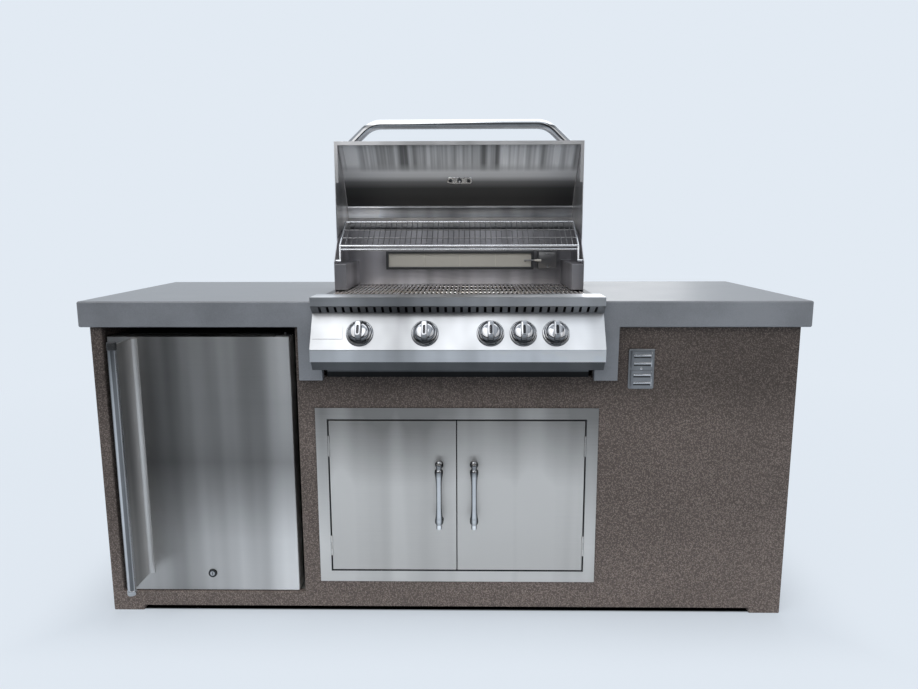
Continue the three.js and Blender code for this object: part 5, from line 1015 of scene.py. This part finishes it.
# Fridge, doors and outlet
def make_fridge_handle():
    """Handle tube with a ribbed dark cap on top and a bright cap at its foot."""
    grip_x, grip_y = -862, -83
    matrix = frame_at(place(grip_x, grip_y, 0), (0, 0, 1))
    turned_piece("fridge_grip", [(0, 121), (11.4, 121), (11.4, 796), (0, 796)], matrix, 48,
                 "grip", "fridge_door", "polished", 40, ("fridge_handle_tube",))
    turned_piece("fridge_grip_foot", [
        (0, 106), (8.5, 106), (10.8, 106.8), (12.0, 108.8), (12.3, 112), (12.3, 119.5), (11.7, 121.2),
        (11.4, 121.6), (0, 121.6)], matrix, 48, "chrome", "fridge_door", "polished")
    rows = [(0, 795.4), (11.4, 795.4), (12.1, 796.2)]
    for k in range(4):
        z = 797.2 + k * 4.2
        rows += [(12.3, z), (12.3, z + 2.6), (11.2, z + 3.0), (11.2, z + 3.8)]
    rows += [(12.2, 814.6), (11.4, 816.2), (9.0, 817), (0, 817)]
    turned_piece("fridge_grip_cap", rows, matrix, 48, "black", "fridge_door", "black_plastic")


def make_pulls():
    """Door pulls: a slim turned bar that swells to a collar at each end, on two posts with roses."""
    doors_middle, depth, height = 36.65, -16, 367.5
    half_long = 95.5
    half = [
        (0, 0), (5.6, 0), (7.2, 0.8), (7.9, 2.4), (8.1, 5.0), (8.0, 10.0), (7.6, 13.0), (7.6, 14.2),
        (9.4, 15.6), (11.2, 18.4), (12.0, 22.0), (11.9, 26.0), (10.9, 32.0), (9.6, 40.0), (8.6, 50.0),
        (8.0, 64.0), (7.8, 80.0), (7.8, half_long)]
    bar = [(r, z - half_long) for r, z in half] + [(r, half_long - z) for r, z in reversed(half[:-1])]
    post = [(0, 0), (5.0, 0), (5.0, 27.5), (6.0, 29.0), (9.0, 30.6), (11.2, 32.4), (12.0, 34.4), (12.0, 35.7),
            (0, 35.7)]
    for side, name in ((-1, "left"), (1, "right")):
        x = doors_middle + side * 49
        bm = bmesh.new()
        add_lathe(bm, bar, frame_at(place(x, depth, height), (0, 0, 1)), 48)
        for end in (-81.5, 81.5):
            add_lathe(bm, post, frame_at(place(x, depth, height + end), (0, 1, 0)), 32)
        finish_piece(f"{name}_pull_bar", bm, "pull", f"{name}_door", "polished", 32, (f"{name}_door_pull",))


def make_outlet_trim():
    """Rain lip along the plate's top, raised ribs and edge strips on the lids in a lighter steel as painted
    highlight, black strips under the ribs as painted shade, and the plate's screw.
    """
    bm = bmesh.new()
    add_block(bm, (509.6, 12.5, 778.6), (578.4, 20.2, 781.0), 0.8)
    finish_piece("outlet_rain_lip", bm, "plate", "island", "stainless")
    for name, middle in (("upper", 752), ("lower", 698)):
        body = f"{name}_lid"
        ribs = (middle - 11, middle + 11)
        bm = bmesh.new()
        # Painted highlight: the ribs and edge strips are in a lighter steel than the lid.
        for z in ribs:
            add_block(bm, (522.2, 12.9, z - 2.7), (569.0, 16.6, z + 2.2), 0.8)
        for x in (518.6, 571.4):
            add_block(bm, (x - 0.6, 16.4, middle - 21), (x + 0.6, 17.6, middle + 21), 0.3)
        finish_piece(f"{name}_lid_ribs", bm, "rib", body, "stainless")
        # Painted shade: black strips under the ribs stand for their shadow.
        shade_strips = [((522.4, 16.5, z - 7.6), (568.8, 17.4, z - 3.0)) for z in ribs]
        block_piece(f"{name}_lid_shade_strips", shade_strips, 0.4, 2, "black", body, "black_plastic")
    turned_piece("outlet_screw", [(3.4, -0.2), (3.4, 0.7), (2.6, 1.4), (0, 1.6)],
                 frame_at(place(544, 20.2, 725), (0, -1, 0)), 24, "chrome", "island", "polished")


def make_gap_shade_frame():
    """Black frame round the doors' opening, a little proud of the frame: painted shade standing for the
    shadow gap round the doors.
    """
    left, right, bottom, top = -324.7, 398.0, 129.6, 579.3
    wide = 1.8
    strips = [
        (left - wide, right + wide, top, top + wide), (left - wide, right + wide, bottom - wide, bottom),
        (left - wide, left, bottom, top), (right, right + wide, bottom, top)]
    blocks = [((x0, 19.7, z0), (x1, 20.5, z1)) for x0, x1, z0, z1 in strips]
    block_piece("door_gap_shade", blocks, 0.2, 1, "black", "island", "black_plastic")


make_camera()
make_world()
make_floor()
make_lights()
dress_nodes()
make_rack()
make_grates()
make_knobs()
make_hood_handle()
make_hood_liner()
make_hood_strip()
make_thermometer()
make_bolts()
make_igniter()
make_tile_joints()
make_fridge_handle()
make_pulls()
make_outlet_trim()
make_gap_shade_frame()
